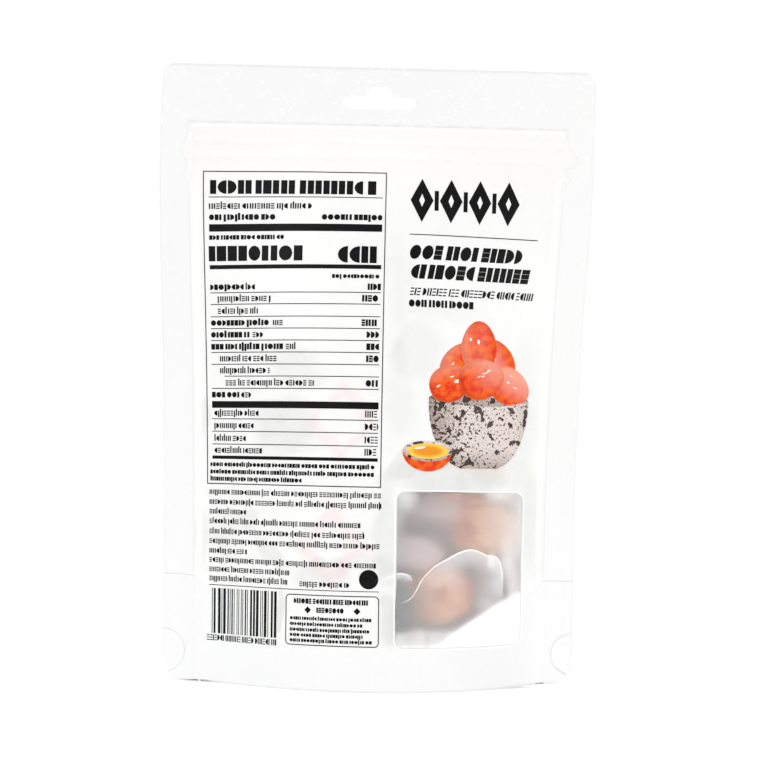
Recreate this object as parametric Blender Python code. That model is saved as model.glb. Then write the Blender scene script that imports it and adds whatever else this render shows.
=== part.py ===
"""A filled stand-up pouch in white film, standing on its opened gusset.

X runs across the pouch, the front looks along -Y and Z is up. The origin is on the ground under
the middle of the foot. Sizes are in metres. A place on the film is given as (s, v): s is the
distance across the flat panel from its middle, and v the distance up it from the bottom edge.
"""

import math

import bmesh
import bpy
import numpy as np

MM = 0.001

# The flat panels, front and back alike
PANEL_WIDTH = 170 * MM
PANEL_HEIGHT = 240 * MM
SIDE_SEAL = 12 * MM
SEAL_THICKNESS = 1.0 * MM
TOP_CORNER = (5 * MM, 5 * MM)
BOTTOM_CORNER = (6.5 * MM, 11 * MM)

# Half the depth of the filled body in its middle, as (height, half depth)
SWELL = (
    (0 * MM, 26.8 * MM),
    (45 * MM, 26.0 * MM),
    (85 * MM, 24.4 * MM),
    (120 * MM, 21.6 * MM),
    (152 * MM, 17.0 * MM),
    (178 * MM, 11.2 * MM),
    (200 * MM, 4.8 * MM),
    (217 * MM, 0.5 * MM),
    (226 * MM, 0 * MM),
    (240 * MM, 0 * MM),
)
CROWN_POWER = 1.5
SWAY = 0.8 * MM

# The gusset, whose seal to each panel is a half moon, and the belly between the two skirts
GUSSET_HEIGHT = 41 * MM
MOON_MIDDLE = 12.5 * MM
MOON_POWER = 1.7
FOOT_HALF_LENGTH = 30 * MM
FOOT_SHARE = 0.4
CORNER_LIFT = 1.0 * MM
LIFT_START = 45 * MM

# The press zipper: two ribs that cross the body, between the side seals
ZIPPER_RIBS = (203.5 * MM, 209.5 * MM)
RIB_HEIGHT = 0.7 * MM
RIB_HALF_WIDTH = 2.0 * MM

# Where packs inside push the film out, as (s, v, radius, height)
FRONT_LUMPS = (
    (-34 * MM, 96 * MM, 26 * MM, 1.2 * MM),
    (30 * MM, 62 * MM, 24 * MM, 1.0 * MM),
    (14 * MM, 120 * MM, 22 * MM, 1.3 * MM),
    (-18 * MM, 52 * MM, 22 * MM, 0.8 * MM),
)
BACK_LUMPS = (
    (26 * MM, 104 * MM, 26 * MM, 1.3 * MM),
    (-28 * MM, 70 * MM, 25 * MM, 1.0 * MM),
    (-10 * MM, 128 * MM, 20 * MM, 1.1 * MM),
)

# The hang slot, a bar with a dome on it
SLOT_LENGTH = 29 * MM
SLOT_HEIGHT = 5 * MM
SLOT_CENTRE = 226 * MM
DOME_BASE = 10 * MM
DOME_TOP = 5 * MM
DOME_RISE = 4 * MM

# Small cuts: a tear notch in each edge, and the round spots where the two panels meet
NOTCH_HEIGHT = 217 * MM
NOTCH_RADIUS = 1.1 * MM
SPOT_HEIGHT = 13 * MM
SPOT_RADIUS = 8.2 * MM
SPOT_DEPTH = 0.2 * MM

# The window pane, let into the front
WINDOW_LEFT = 10 * MM
WINDOW_RIGHT = 64.5 * MM
WINDOW_BOTTOM = 15.5 * MM
WINDOW_TOP = 75 * MM
WINDOW_CORNER = 3 * MM
PANE_THICKNESS = 0.9 * MM
GAP = 0.35 * MM

# How finely the film is divided
BODY_COLUMNS = 32
SEAL_COLUMNS = 3
BODY_ROW = 6 * MM
ZIPPER_ROW = 1.5 * MM
ZIPPER_ZONE = (199.5 * MM, 216 * MM)
HEADER_ROWS = 4
SKIRT_ROWS = 3
BELLY_ROWS = 5
PANE_CELL = 6 * MM
ARC_STEPS = 8

FRONT, BACK = -1, 1
HALF_WIDTH = PANEL_WIDTH / 2
HALF_BODY = HALF_WIDTH - SIDE_SEAL
CUT_REACH = 4 * MM


def smooth_step(t):
    """A rise from 0 to 1 with level ends, for t from 0 to 1."""
    t = min(1.0, max(0.0, t))
    return t * t * (3 - 2 * t)


def swell(v):
    """Half the body's depth in its middle at v, on a smooth curve through SWELL."""
    heights = [point[0] for point in SWELL]
    depths = [point[1] for point in SWELL]
    slopes = np.gradient(depths, heights)
    i = int(np.clip(np.searchsorted(heights, v) - 1, 0, len(SWELL) - 2))
    span = heights[i + 1] - heights[i]
    t = (v - heights[i]) / span
    start = (2 * t**3 - 3 * t**2 + 1) * depths[i] + (t**3 - 2 * t**2 + t) * span * slopes[i]
    end = (3 * t**2 - 2 * t**3) * depths[i + 1] + (t**3 - t**2) * span * slopes[i + 1]
    return max(0.0, start + end)


def crown(s):
    """The share of the swell at s: all of it in the middle, none from the side seals outwards."""
    u = np.clip(np.abs(s) / HALF_BODY, 0, 1)
    return (1 - u * u) ** CROWN_POWER


def across(s, v):
    """X of the place (s, v). A swelled panel takes up its width in depth, so it stands narrower."""
    depth = swell(v)
    places = np.linspace(0, abs(s), 60)
    steps = np.diff(places)
    rises = np.diff(depth * crown(places))
    run = float(np.sqrt(np.maximum(steps**2 - rises**2, 0)).sum())
    return math.copysign(run, s) - SWAY * math.sin(math.pi * v / PANEL_HEIGHT)


def lift(s, v):
    """How far the bottom corners stand off the ground, fading out up to the gusset's height."""
    outwards = smooth_step((abs(s) - LIFT_START) / (HALF_WIDTH - LIFT_START))
    return CORNER_LIFT * outwards * (1 - smooth_step(v / GUSSET_HEIGHT))


def moon(s):
    """The height of the half-moon seal at s."""
    rise = GUSSET_HEIGHT - MOON_MIDDLE
    return MOON_MIDDLE + rise * min(1.0, abs(s) / HALF_BODY) ** MOON_POWER


def zipper_relief(s, v):
    """How far the zipper's ribs push the film out."""
    inside = smooth_step((HALF_BODY - abs(s)) / SEAL_THICKNESS)
    nearest = min(abs(v - rib) for rib in ZIPPER_RIBS)
    return RIB_HEIGHT * inside * (1 - smooth_step(nearest / RIB_HALF_WIDTH))


def lump_relief(s, v, lumps):
    """How far the packs inside push the film out, on one side."""
    total = sum(
        height * math.exp(-((s - at_s) ** 2 + (v - at_v) ** 2) / radius**2)
        for at_s, at_v, radius, height in lumps
    )
    above_seal = smooth_step((v - moon(s)) / GUSSET_HEIGHT)
    return total * above_seal * float(crown(s))


def skin(s, v, side, outwards=0.0):
    """The point on the outer face of the film at (s, v), moved outwards by a distance."""
    lumps = FRONT_LUMPS if side == FRONT else BACK_LUMPS
    depth = SEAL_THICKNESS / 2 + swell(v) * float(crown(s))
    depth += zipper_relief(s, v) + lump_relief(s, v, lumps) + outwards
    return (across(s, v), side * depth, v + lift(s, v))


def lining(s, v, side):
    """The point on the inner face of a skirt. The two linings meet at the side seals."""
    bulge = swell(v) * float(crown(s))
    wall = SEAL_THICKNESS / 2 * (1 - math.exp(-bulge / SEAL_THICKNESS))
    return (across(s, v), side * (bulge - wall), v + lift(s, v))


def belly(s, share):
    """The point on the underside of the body, with share from -1 at the front seal to 1 at the back."""
    top = moon(s)
    x, reach, _ = lining(s, top, BACK)
    outwards = max(0.0, (abs(s) - FOOT_HALF_LENGTH) / (HALF_BODY - FOOT_HALF_LENGTH))
    fold = top * outwards**2
    rise = smooth_step((abs(share) - FOOT_SHARE) / (1 - FOOT_SHARE))
    return (x, share * reach, fold + (top - fold) * rise + lift(s, top))


def film_columns():
    """Every s that has a column of points, from the left edge to the right."""
    body = np.linspace(-HALF_BODY, HALF_BODY, BODY_COLUMNS + 1)
    seal = np.linspace(HALF_BODY, HALF_WIDTH, SEAL_COLUMNS + 1)[1:]
    return [float(s) for s in (*-seal[::-1], *body, *seal)]


def film_rows():
    """Every v that has a row of points, from the bottom edge to the top."""
    low, high = ZIPPER_ZONE
    body = np.linspace(0, low, round(low / BODY_ROW) + 1)
    zipper = np.linspace(low, high, round((high - low) / ZIPPER_ROW) + 1)[1:]
    header = np.linspace(high, PANEL_HEIGHT, HEADER_ROWS + 1)[1:]
    return [float(v) for v in (*body, *zipper, *header)]


def add_face(bm, *corners):
    """Adds a face, leaving out corners that coincide with the one before."""
    kept = [c for i, c in enumerate(corners) if c is not corners[i - 1]]
    if len(set(kept)) > 2:
        bm.faces.new(kept)


def underside_path(bm, s):
    """The points of one column under the pouch, from the front rim over the belly to the back rim."""
    heights = [moon(s) * k / SKIRT_ROWS for k in range(SKIRT_ROWS + 1)]
    if abs(s) >= HALF_BODY:
        seam = [bm.verts.new(lining(s, v, FRONT)) for v in heights]
        return seam + [seam[-1]] * (2 * BELLY_ROWS - 1) + seam[::-1]
    shares = [k / BELLY_ROWS for k in range(1 - BELLY_ROWS, BELLY_ROWS)]
    up = [bm.verts.new(lining(s, v, FRONT)) for v in heights]
    over = [bm.verts.new(belly(s, share)) for share in shares]
    down = [bm.verts.new(lining(s, v, BACK)) for v in heights[::-1]]
    return up + over + down


def pouch_mesh():
    """The closed body: two panels, the strips along their edges, the skirts and the belly."""
    bm = bmesh.new()
    columns, rows = film_columns(), film_rows()
    front = [[bm.verts.new(skin(s, v, FRONT)) for v in rows] for s in columns]
    back = [[bm.verts.new(skin(s, v, BACK)) for v in rows] for s in columns]
    for i in range(len(columns) - 1):
        for j in range(len(rows) - 1):
            for sheet in (front, back):
                corners = (sheet[i][j], sheet[i + 1][j], sheet[i + 1][j + 1], sheet[i][j + 1])
                add_face(bm, *corners)
        add_face(bm, front[i][-1], front[i + 1][-1], back[i + 1][-1], back[i][-1])
    for j in range(len(rows) - 1):
        for i in (0, -1):
            add_face(bm, front[i][j], front[i][j + 1], back[i][j + 1], back[i][j])
    first, last = SEAL_COLUMNS, SEAL_COLUMNS + BODY_COLUMNS
    paths = {i: underside_path(bm, columns[i]) for i in range(first, last + 1)}
    for i in range(first, last):
        here, beyond = paths[i], paths[i + 1]
        for k in range(len(here) - 1):
            add_face(bm, here[k], here[k + 1], beyond[k + 1], beyond[k])
        add_face(bm, front[i][0], front[i + 1][0], beyond[0], here[0])
        add_face(bm, back[i][0], back[i + 1][0], beyond[-1], here[-1])
    for i in (*range(first), *range(last, len(columns) - 1)):
        middle = [paths[k][0] for k in (i, i + 1) if k in paths]
        if middle and i + 1 == first:
            add_face(bm, front[i][0], front[i + 1][0], *middle, back[i + 1][0], back[i][0])
        elif middle:
            add_face(bm, front[i][0], front[i + 1][0], back[i + 1][0], back[i][0], *middle)
        else:
            add_face(bm, front[i][0], front[i + 1][0], back[i + 1][0], back[i][0])
    bmesh.ops.recalc_face_normals(bm, faces=bm.faces)
    return bm


def plate(bm, outline, low_y, high_y):
    """Adds an upright plate to bm: an outline of (x, z) points, from one Y to another."""
    near = [bm.verts.new((x, low_y, z)) for x, z in outline]
    far = [bm.verts.new((x, high_y, z)) for x, z in outline]
    bm.faces.new(near)
    bm.faces.new(far)
    for i in range(len(outline)):
        bm.faces.new((near[i - 1], near[i], far[i], far[i - 1]))


def arc(centre, radii, start, end, steps=ARC_STEPS):
    """Points on an ellipse about a centre, from one angle to another in degrees."""
    angles = [math.radians(start + (end - start) * k / steps) for k in range(steps + 1)]
    return [(centre[0] + radii[0] * math.cos(a), centre[1] + radii[1] * math.sin(a)) for a in angles]


def slot_outline():
    """The hang slot: a bar with round ends, and a dome with soft shoulders on top."""
    radius = SLOT_HEIGHT / 2
    end = SLOT_LENGTH / 2 - radius
    top = SLOT_CENTRE + radius
    shoulder = (DOME_BASE - DOME_TOP) / 2
    right = arc((end, SLOT_CENTRE), (radius, radius), -90, 90)
    rise = arc((DOME_TOP / 2, top), (shoulder, DOME_RISE), 0, 90)
    fall = arc((-DOME_TOP / 2, top), (shoulder, DOME_RISE), 90, 180)
    left = arc((-end, SLOT_CENTRE), (radius, radius), 90, 270)
    return right + rise + fall + left


def corner_outline(x, z, radii, right, up):
    """What a rounded corner leaves of the square around it. right and up are 1 or -1."""
    centre = (x - right * radii[0], z - up * radii[1])
    signed = (right * radii[0], up * radii[1])
    beyond_x, beyond_z = x + right * CUT_REACH, z + up * CUT_REACH
    curve = arc(centre, signed, 0, 90)
    return curve + [(centre[0], beyond_z), (beyond_x, beyond_z), (beyond_x, centre[1])]


def film_cuts():
    """What is cut through the film: the slot, the corners and the tear notches."""
    bm = bmesh.new()
    plate(bm, slot_outline(), -CUT_REACH, CUT_REACH)
    for right in (-1, 1):
        s = right * HALF_WIDTH
        top = corner_outline(across(s, PANEL_HEIGHT), PANEL_HEIGHT, TOP_CORNER, right, 1)
        bottom = corner_outline(across(s, 0), lift(s, 0), BOTTOM_CORNER, right, -1)
        notch = arc((across(s, NOTCH_HEIGHT), NOTCH_HEIGHT), (NOTCH_RADIUS,) * 2, 0, 360)[1:]
        for outline in (top, bottom, notch):
            plate(bm, outline, -CUT_REACH, CUT_REACH)
    bmesh.ops.recalc_face_normals(bm, faces=bm.faces)
    return bm


def spot_presses():
    """What presses the round spots into both faces of each side seal."""
    bm = bmesh.new()
    face = SEAL_THICKNESS / 2 - SPOT_DEPTH
    for s in (-HALF_WIDTH, HALF_WIDTH):
        centre = (across(s, SPOT_HEIGHT), SPOT_HEIGHT)
        spot = arc(centre, (SPOT_RADIUS,) * 2, 0, 360, 4 * ARC_STEPS)[1:]
        plate(bm, spot, face, CUT_REACH)
        plate(bm, spot, -CUT_REACH, -face)
    bmesh.ops.recalc_face_normals(bm, faces=bm.faces)
    return bm


def window_outline(margin):
    """The window as (s, v) points, with a margin added all round."""
    left, right = WINDOW_LEFT - margin, WINDOW_RIGHT + margin
    bottom, top = WINDOW_BOTTOM - margin, WINDOW_TOP + margin
    radius = WINDOW_CORNER + margin
    radii = (radius, radius)
    return (
        arc((right - radius, bottom + radius), radii, -90, 0)
        + arc((right - radius, top - radius), radii, 0, 90)
        + arc((left + radius, top - radius), radii, 90, 180)
        + arc((left + radius, bottom + radius), radii, 180, 270)
    )


def laid_plate(outline, low, high):
    """A plate drawn flat in (s, v), cut into cells and laid on the front of the film."""
    bm = bmesh.new()
    face = bm.faces.new([bm.verts.new((s, v, 0)) for s, v in outline])
    raised = bmesh.ops.extrude_face_region(bm, geom=[face])
    for point in raised["geom"]:
        if isinstance(point, bmesh.types.BMVert):
            point.co.z = 1
    for axis in (0, 1):
        places = [point[axis] for point in outline]
        count = round((max(places) - min(places)) / PANE_CELL)
        for place in np.linspace(min(places), max(places), count + 1)[1:-1]:
            on_plane = [place if k == axis else 0 for k in range(3)]
            normal = [1 if k == axis else 0 for k in range(3)]
            everything = bm.verts[:] + bm.edges[:] + bm.faces[:]
            bmesh.ops.bisect_plane(bm, geom=everything, plane_co=on_plane, plane_no=normal)
    bmesh.ops.triangulate(bm, faces=bm.faces)
    for point in bm.verts:
        s, v, level = point.co
        point.co = skin(s, v, FRONT, high if level > 0.5 else low)
    bmesh.ops.recalc_face_normals(bm, faces=bm.faces)
    return bm


def plastic(name, colour, roughness, alpha=1.0):
    """A plain plastic material."""
    material = bpy.data.materials.new(name)
    material.use_nodes = True
    shader = material.node_tree.nodes["Principled BSDF"]
    shader.inputs["Base Color"].default_value = (*colour, 1.0)
    shader.inputs["Roughness"].default_value = roughness
    shader.inputs["Alpha"].default_value = alpha
    material.diffuse_color = (*colour, alpha)
    return material


def add_object(name, bm, material=None):
    """Turns bm into an object of the scene."""
    mesh = bpy.data.meshes.new(name)
    bm.to_mesh(mesh)
    bm.free()
    item = bpy.data.objects.new(name, mesh)
    bpy.context.collection.objects.link(item)
    if material:
        mesh.materials.append(material)
        mesh.shade_smooth()
        mesh.set_sharp_from_angle(angle=math.radians(40))
    return item


def cut(item, cutter):
    """Takes the cutter's shape out of the item."""
    cutter.hide_render = True
    cutter.display_type = "WIRE"
    modifier = item.modifiers.new(cutter.name, "BOOLEAN")
    modifier.operation = "DIFFERENCE"
    modifier.solver = "EXACT"
    modifier.object = cutter


def build():
    """Makes the pouch and its window pane."""
    for item in list(bpy.data.objects):
        bpy.data.objects.remove(item)
    white = plastic("white_film", (0.9, 0.91, 0.92), 0.35)
    frosted = plastic("frosted_film", (0.55, 0.5, 0.49), 0.3, 0.5)
    pouch = add_object("pouch", pouch_mesh(), white)
    cut(pouch, add_object("film_cuts", film_cuts()))
    cut(pouch, add_object("spot_presses", spot_presses()))
    pocket = laid_plate(window_outline(GAP), -PANE_THICKNESS - GAP, CUT_REACH)
    cut(pouch, add_object("window_pocket", pocket))
    add_object("window", laid_plate(window_outline(0), -PANE_THICKNESS, 0), frosted)


build()
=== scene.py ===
"""A filled stand-up food pouch in white film, dressed for its studio picture.

X runs across the pouch, the front looks along -Y and Z is up, as in the CAD frame. A place on the
film is (s, v) in millimetres: s is the distance across the flat panel from its middle, and v the
distance up it from the bottom edge. Places in space are in metres. The films are cut flat and
then laid on the pouch's form, and the print is laid on the films' own meshes.
"""

import logging
import math
import random
from dataclasses import dataclass, field
from enum import Enum
from functools import reduce

import bpy
import numpy as np
from mathutils import Matrix, Vector, noise
from mathutils.bvhtree import BVHTree
from mathutils.geometry import delaunay_2d_cdt
from mathutils.kdtree import KDTree


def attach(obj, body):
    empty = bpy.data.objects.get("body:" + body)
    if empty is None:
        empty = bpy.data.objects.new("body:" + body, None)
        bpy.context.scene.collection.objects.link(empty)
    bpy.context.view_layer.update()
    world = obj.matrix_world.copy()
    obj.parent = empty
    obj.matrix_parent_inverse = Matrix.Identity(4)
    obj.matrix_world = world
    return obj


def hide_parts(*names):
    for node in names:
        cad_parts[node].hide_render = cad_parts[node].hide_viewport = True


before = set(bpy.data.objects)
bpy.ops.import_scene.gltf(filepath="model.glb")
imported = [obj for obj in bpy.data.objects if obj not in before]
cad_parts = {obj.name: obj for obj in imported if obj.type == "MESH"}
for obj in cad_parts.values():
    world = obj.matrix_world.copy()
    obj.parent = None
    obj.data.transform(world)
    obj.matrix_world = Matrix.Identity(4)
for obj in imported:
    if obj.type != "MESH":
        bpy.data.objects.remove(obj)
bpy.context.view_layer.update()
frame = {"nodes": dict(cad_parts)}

LOG = logging.getLogger("pouch")
MM = 0.001
FLAT_MAP = "flat"
LOCAL_MAP = "local"

Flat = tuple[float, float]
Loop = list[Flat]
Colour = tuple[float, float, float]
Box = tuple[float, float, float, float]
Socket = bpy.types.NodeSocket


class Side(Enum):
    """The two panels of the pouch. The value is the sign of Y on that side."""

    FRONT = -1
    BACK = 1


def linear(red: int, green: int, blue: int) -> Colour:
    """A screen colour of 0 to 255 as the linear colour that a shader takes."""
    shares = [channel / 255 for channel in (red, green, blue)]
    return tuple(c / 12.92 if c <= 0.04045 else ((c + 0.055) / 1.055) ** 2.4 for c in shares)


def smooth(t: np.ndarray) -> np.ndarray:
    """A rise from 0 to 1 with level ends, for t from 0 to 1."""
    t = np.clip(t, 0, 1)
    return t * t * (3 - 2 * t)


def ripple(s: np.ndarray, v: np.ndarray, pitch: Flat, seed: float) -> np.ndarray:
    """Smooth noise over the film, from -1 to 1.

    Args:
        s: Places across the film.
        v: Places up the film.
        pitch: The size of a wave across and up, in millimetres.
        seed: Which noise it is.

    Returns:
        One value for each place.
    """
    wave = zip(np.ravel(s) / pitch[0], np.ravel(v) / pitch[1])
    return np.array([noise.noise(Vector((a, b, seed))) for a, b in wave])


def arc(centre: Flat, radii: Flat, start: float, end: float, steps: int = 10) -> Loop:
    """Points on an ellipse about a centre, from one angle to another in degrees."""
    angles = [math.radians(start + (end - start) * k / steps) for k in range(steps + 1)]
    return [(centre[0] + radii[0] * math.cos(a), centre[1] + radii[1] * math.sin(a)) for a in angles]


def rounded(left: float, bottom: float, right: float, top: float, radius: float) -> Loop:
    """A rectangle with round corners."""
    radii = (radius, radius)
    return (
        arc((right - radius, bottom + radius), radii, -90, 0, 6)
        + arc((right - radius, top - radius), radii, 0, 90, 6)
        + arc((left + radius, top - radius), radii, 90, 180, 6)
        + arc((left + radius, bottom + radius), radii, 180, 270, 6)
    )


def inside(points: np.ndarray, loop: Loop) -> np.ndarray:
    """Which of the points lie inside a closed loop."""
    x, y = points[:, 0], points[:, 1]
    within = np.zeros(len(points), bool)
    for (x0, y0), (x1, y1) in zip(loop, loop[1:] + loop[:1]):
        if y0 != y1:
            crosses = (y0 > y) != (y1 > y)
            within ^= crosses & (x < (x1 - x0) * (y - y0) / (y1 - y0) + x0)
    return within


@dataclass(frozen=True)
class PouchForm:
    """Where each place of the flat panels lies on the filled pouch: the CAD's own rule, in mm."""

    width: float = 170
    height: float = 240
    side_seal: float = 12
    heights: tuple[float, ...] = (0, 45, 85, 120, 152, 178, 200, 217, 226, 240)
    depths: tuple[float, ...] = (26.8, 26.0, 24.4, 21.6, 17.0, 11.2, 4.8, 0.5, 0, 0)
    crown_power: float = 1.5
    sway: float = 0.8
    gusset: float = 41
    moon_middle: float = 12.5
    moon_power: float = 1.7
    foot_half: float = 30
    foot_share: float = 0.4
    corner_lift: tuple[float, float] = (0.4, 1.8)
    lift_start: float = 45
    film: float = 0.2
    seal_gap: float = 0.04
    edge_wave: float = 0.45
    header_lean: float = 1.2
    spot_height: float = 11.6
    spot_radius: float = 8.2

    @property
    def half(self) -> float:
        """Half the width of a flat panel."""
        return self.width / 2

    @property
    def half_body(self) -> float:
        """From the middle to where a side seal starts."""
        return self.half - self.side_seal

    def swell(self, v: np.ndarray) -> np.ndarray:
        """Half the body's depth in its middle at v."""
        heights, depths = np.array(self.heights, float), np.array(self.depths, float)
        slopes = np.gradient(depths, heights)
        i = np.clip(np.searchsorted(heights, v) - 1, 0, len(heights) - 2)
        span = heights[i + 1] - heights[i]
        t = (v - heights[i]) / span
        start = (2 * t**3 - 3 * t**2 + 1) * depths[i] + (t**3 - 2 * t**2 + t) * span * slopes[i]
        end = (3 * t**2 - 2 * t**3) * depths[i + 1] + (t**3 - t**2) * span * slopes[i + 1]
        return np.maximum(0, start + end)

    def crown(self, s: np.ndarray) -> np.ndarray:
        """The share of the swell at s: all in the middle, none from the side seals outwards."""
        return (1 - np.clip(np.abs(s) / self.half_body, 0, 1) ** 2) ** self.crown_power

    def across(self, s: np.ndarray, v: np.ndarray) -> np.ndarray:
        """X of each place. A swelled panel takes up its width in depth, so it stands narrower."""
        places = np.abs(s)[:, None] * np.linspace(0, 1, 60)
        rises = np.diff(self.swell(v)[:, None] * self.crown(places), axis=1)
        steps = np.diff(places, axis=1)
        run = np.sqrt(np.maximum(steps**2 - rises**2, 0)).sum(axis=1)
        return np.copysign(run, s) - self.sway * np.sin(math.pi * v / self.height)

    def lift(self, s: np.ndarray, v: np.ndarray) -> np.ndarray:
        """How far the bottom corners stand off the ground. The right one stands higher."""
        most = np.where(s < 0, *self.corner_lift)
        outwards = smooth((np.abs(s) - self.lift_start) / (self.half - self.lift_start))
        return most * outwards * (1 - smooth(v / self.gusset))

    def moon(self, s: np.ndarray) -> np.ndarray:
        """The height of the half-moon seal at s."""
        share = np.clip(np.abs(s) / self.half_body, 0, 1) ** self.moon_power
        return self.moon_middle + (self.gusset - self.moon_middle) * share

    def bulge(self, s: np.ndarray, v: np.ndarray) -> np.ndarray:
        """How far a panel stands out from the middle plane, without its film and relief."""
        return self.swell(v) * self.crown(s)

    def bend(self, s: np.ndarray, v: np.ndarray) -> np.ndarray:
        """How far both films go back together where they are sealed: waves and a leaning header."""
        outer = smooth((np.abs(s) - self.half_body) / self.side_seal)
        phase = np.where(s < 0, 0.6, 2.3)
        waves = self.edge_wave * outer * np.sin(v / 21 + phase) * np.sin(v / 57 + 2 * phase)
        over = np.clip((v - 205) / (self.height - 205), 0, 1)
        return waves + self.header_lean * over**2

    def place(self, s: np.ndarray, v: np.ndarray, side: Side, out: np.ndarray) -> np.ndarray:
        """Where places on the film lie in space.

        Args:
            s: Places across the flat panel.
            v: Places up it.
            side: The panel.
            out: How far each place stands out from the bare form.

        Returns:
            An array of points in metres.
        """
        depth = self.bulge(s, v) + out
        y = side.value * depth + self.bend(s, v)
        return np.stack([self.across(s, v), y, v + self.lift(s, v)], axis=1) * MM


@dataclass(frozen=True)
class Lump:
    """A round rise in the film, or a dent where its height is below nothing."""

    s: float
    v: float
    radius: float
    height: float

    def rise(self, s: np.ndarray, v: np.ndarray) -> np.ndarray:
        """How far it moves each place."""
        return self.height * np.exp(-((s - self.s) ** 2 + (v - self.v) ** 2) / self.radius**2)


@dataclass(frozen=True)
class Fold:
    """A long soft fold in the film, from one place to another, that fades at both ends."""

    start: Flat
    end: Flat
    width: float
    height: float

    def rise(self, s: np.ndarray, v: np.ndarray) -> np.ndarray:
        """How far it moves each place."""
        along = np.subtract(self.end, self.start)
        length = float(np.hypot(*along))
        ds, dv = s - self.start[0], v - self.start[1]
        t = (ds * along[0] + dv * along[1]) / length**2
        off = (dv * along[0] - ds * along[1]) / length
        fade = smooth(t / 0.4) * smooth((1 - t) / 0.4)
        return self.height * fade * np.exp(-((off / self.width) ** 2))


@dataclass(frozen=True)
class CrushedLobe:
    """A lobe of the zipper's crushed end that reaches out into a side seal."""

    right: bool
    v: float
    below: float
    above: float
    reach: float

    def out(self, s: np.ndarray, v: np.ndarray) -> np.ndarray:
        """How far it reaches at each place."""
        off = np.maximum((v - self.v) / self.above, 0) + np.minimum((v - self.v) / self.below, 0)
        return self.reach * np.exp(-(off**2)) * ((s > 0) == self.right)

    def nodes(self, bench: "NodeBench", s: Socket, v: Socket) -> Socket:
        """The same reach as shader nodes."""
        off = bench.math("SUBTRACT", v, self.v)
        high = bench.math("MAXIMUM", bench.math("DIVIDE", off, self.above), 0.0)
        low = bench.math("MINIMUM", bench.math("DIVIDE", off, self.below), 0.0)
        share = bench.total(high, low)
        lobe = bench.math("EXPONENT", bench.product(share, share, -1.0))
        side = bench.rise(s, -1, 1) if self.right else bench.rise(s, 1, -1)
        return bench.product(lobe, side, self.reach)


CRUSHED_LOBES = (
    CrushedLobe(False, 205.6, 3.4, 4.4, 2.7),
    CrushedLobe(False, 196.4, 2.2, 1.8, 1.5),
    CrushedLobe(True, 203.8, 1.7, 5.4, 5.0),
    CrushedLobe(True, 197.2, 1.4, 1.3, 2.2),
)


@dataclass(frozen=True)
class FilmRelief:
    """What stands out from the bare form on one panel: ribs, seal steps, lumps and wrinkles."""

    form: PouchForm
    lumps: tuple[Lump, ...]
    folds: tuple[Fold, ...]
    seed: float
    zipper_ribs: tuple[float, float] = (203.5, 209.5)
    rib_height: float = 0.28
    rib_half: float = 2.0
    header_line: float = 216.6

    def crushed_edge(self, s: np.ndarray, v: np.ndarray) -> np.ndarray:
        """How far out the crushed end of the zipper reaches."""
        return self.form.half_body + 0.2 + np.sum([lobe.out(s, v) for lobe in CRUSHED_LOBES], axis=0)

    def zipper(self, s: np.ndarray, v: np.ndarray) -> np.ndarray:
        """The press zipper's two ribs, crushed flat and wavy where they run into the side seals."""
        away = np.abs(s)
        body = smooth((self.form.half_body - away) / 1.5)
        nearest = np.min([np.abs(v - rib) for rib in self.zipper_ribs], axis=0)
        ribs = self.rib_height * (1 - smooth(nearest / self.rib_half)) * body
        crushed = smooth((self.crushed_edge(s, v) - away) / 0.7) * (1 - body)
        band = smooth((v - 193) / 2) * smooth((213.5 - v) / 2)
        return ribs + 0.22 * crushed * band

    def seal_steps(self, s: np.ndarray, v: np.ndarray) -> np.ndarray:
        """The small steps and beads along the seals, and the pressed spots in the lower corners."""
        form = self.form
        away = np.abs(s)
        bead = 0.14 * np.exp(-(((away - form.half_body + 0.9) / 0.55) ** 2))
        bead *= smooth((v - 42) / 6) * smooth((214 - v) / 3)
        line = -0.16 * np.exp(-(((v - self.header_line) / 0.45) ** 2)) * smooth((74 - away) / 1)
        over_moon = v - form.moon(s)
        rim = 0.1 * np.exp(-(((over_moon - 0.5) / 0.6) ** 2)) * smooth((form.half_body - away) / 1)
        fold = 0.12 * smooth((form.gusset - v) / 0.5) * smooth((away - form.half_body) / 0.6)
        from_spot = np.hypot(away - form.half, v - form.spot_height) - form.spot_radius
        spot = -0.22 * smooth(-from_spot / 0.5) - 0.12 * np.exp(-(((from_spot + 0.3) / 0.35) ** 2))
        return bead + line + rim + fold + spot

    def wrinkles(self, s: np.ndarray, v: np.ndarray) -> np.ndarray:
        """Puckers beside the seals and over the gusset, and the film's own unevenness."""
        form, seed = self.form, self.seed
        inwards = form.half_body - np.abs(s)
        above = v - form.moon(s)
        body = smooth(inwards / 6) * smooth(above / 8) * smooth((214 - v) / 8)
        beside = np.exp(-np.maximum(inwards, 0) / 9) * smooth(inwards / 3) * smooth(above / 6)
        pucker = 0.34 * beside * smooth((200 - v) / 20) * ripple(s, v, (60, 7), seed)
        over = np.exp(-np.maximum(above, 0) / 9) * smooth(above / 3) * smooth(inwards / 3)
        ruck = 0.3 * over * ripple(s, v, (6, 40), seed + 3)
        broad = 0.85 * body * ripple(s, v, (34, 46), seed + 7)
        fine = 0.2 * body * ripple(s, v, (13, 17), seed + 11)
        header = smooth((v - 214) / 4)
        sealed = 0.07 * header * ripple(s, v, (5, 3.4), seed + 17)
        return pucker + ruck + broad + fine + sealed

    def out(self, s: np.ndarray, v: np.ndarray) -> np.ndarray:
        """How far the outer face of the film stands out from the bare form."""
        form = self.form
        raised = np.sum([shape.rise(s, v) for shape in (*self.lumps, *self.folds)], axis=0)
        body = smooth((v - form.moon(s)) / form.gusset) * form.crown(s)
        base = form.film + form.seal_gap
        return base + self.zipper(s, v) + self.seal_steps(s, v) + self.wrinkles(s, v) + raised * body


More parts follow.
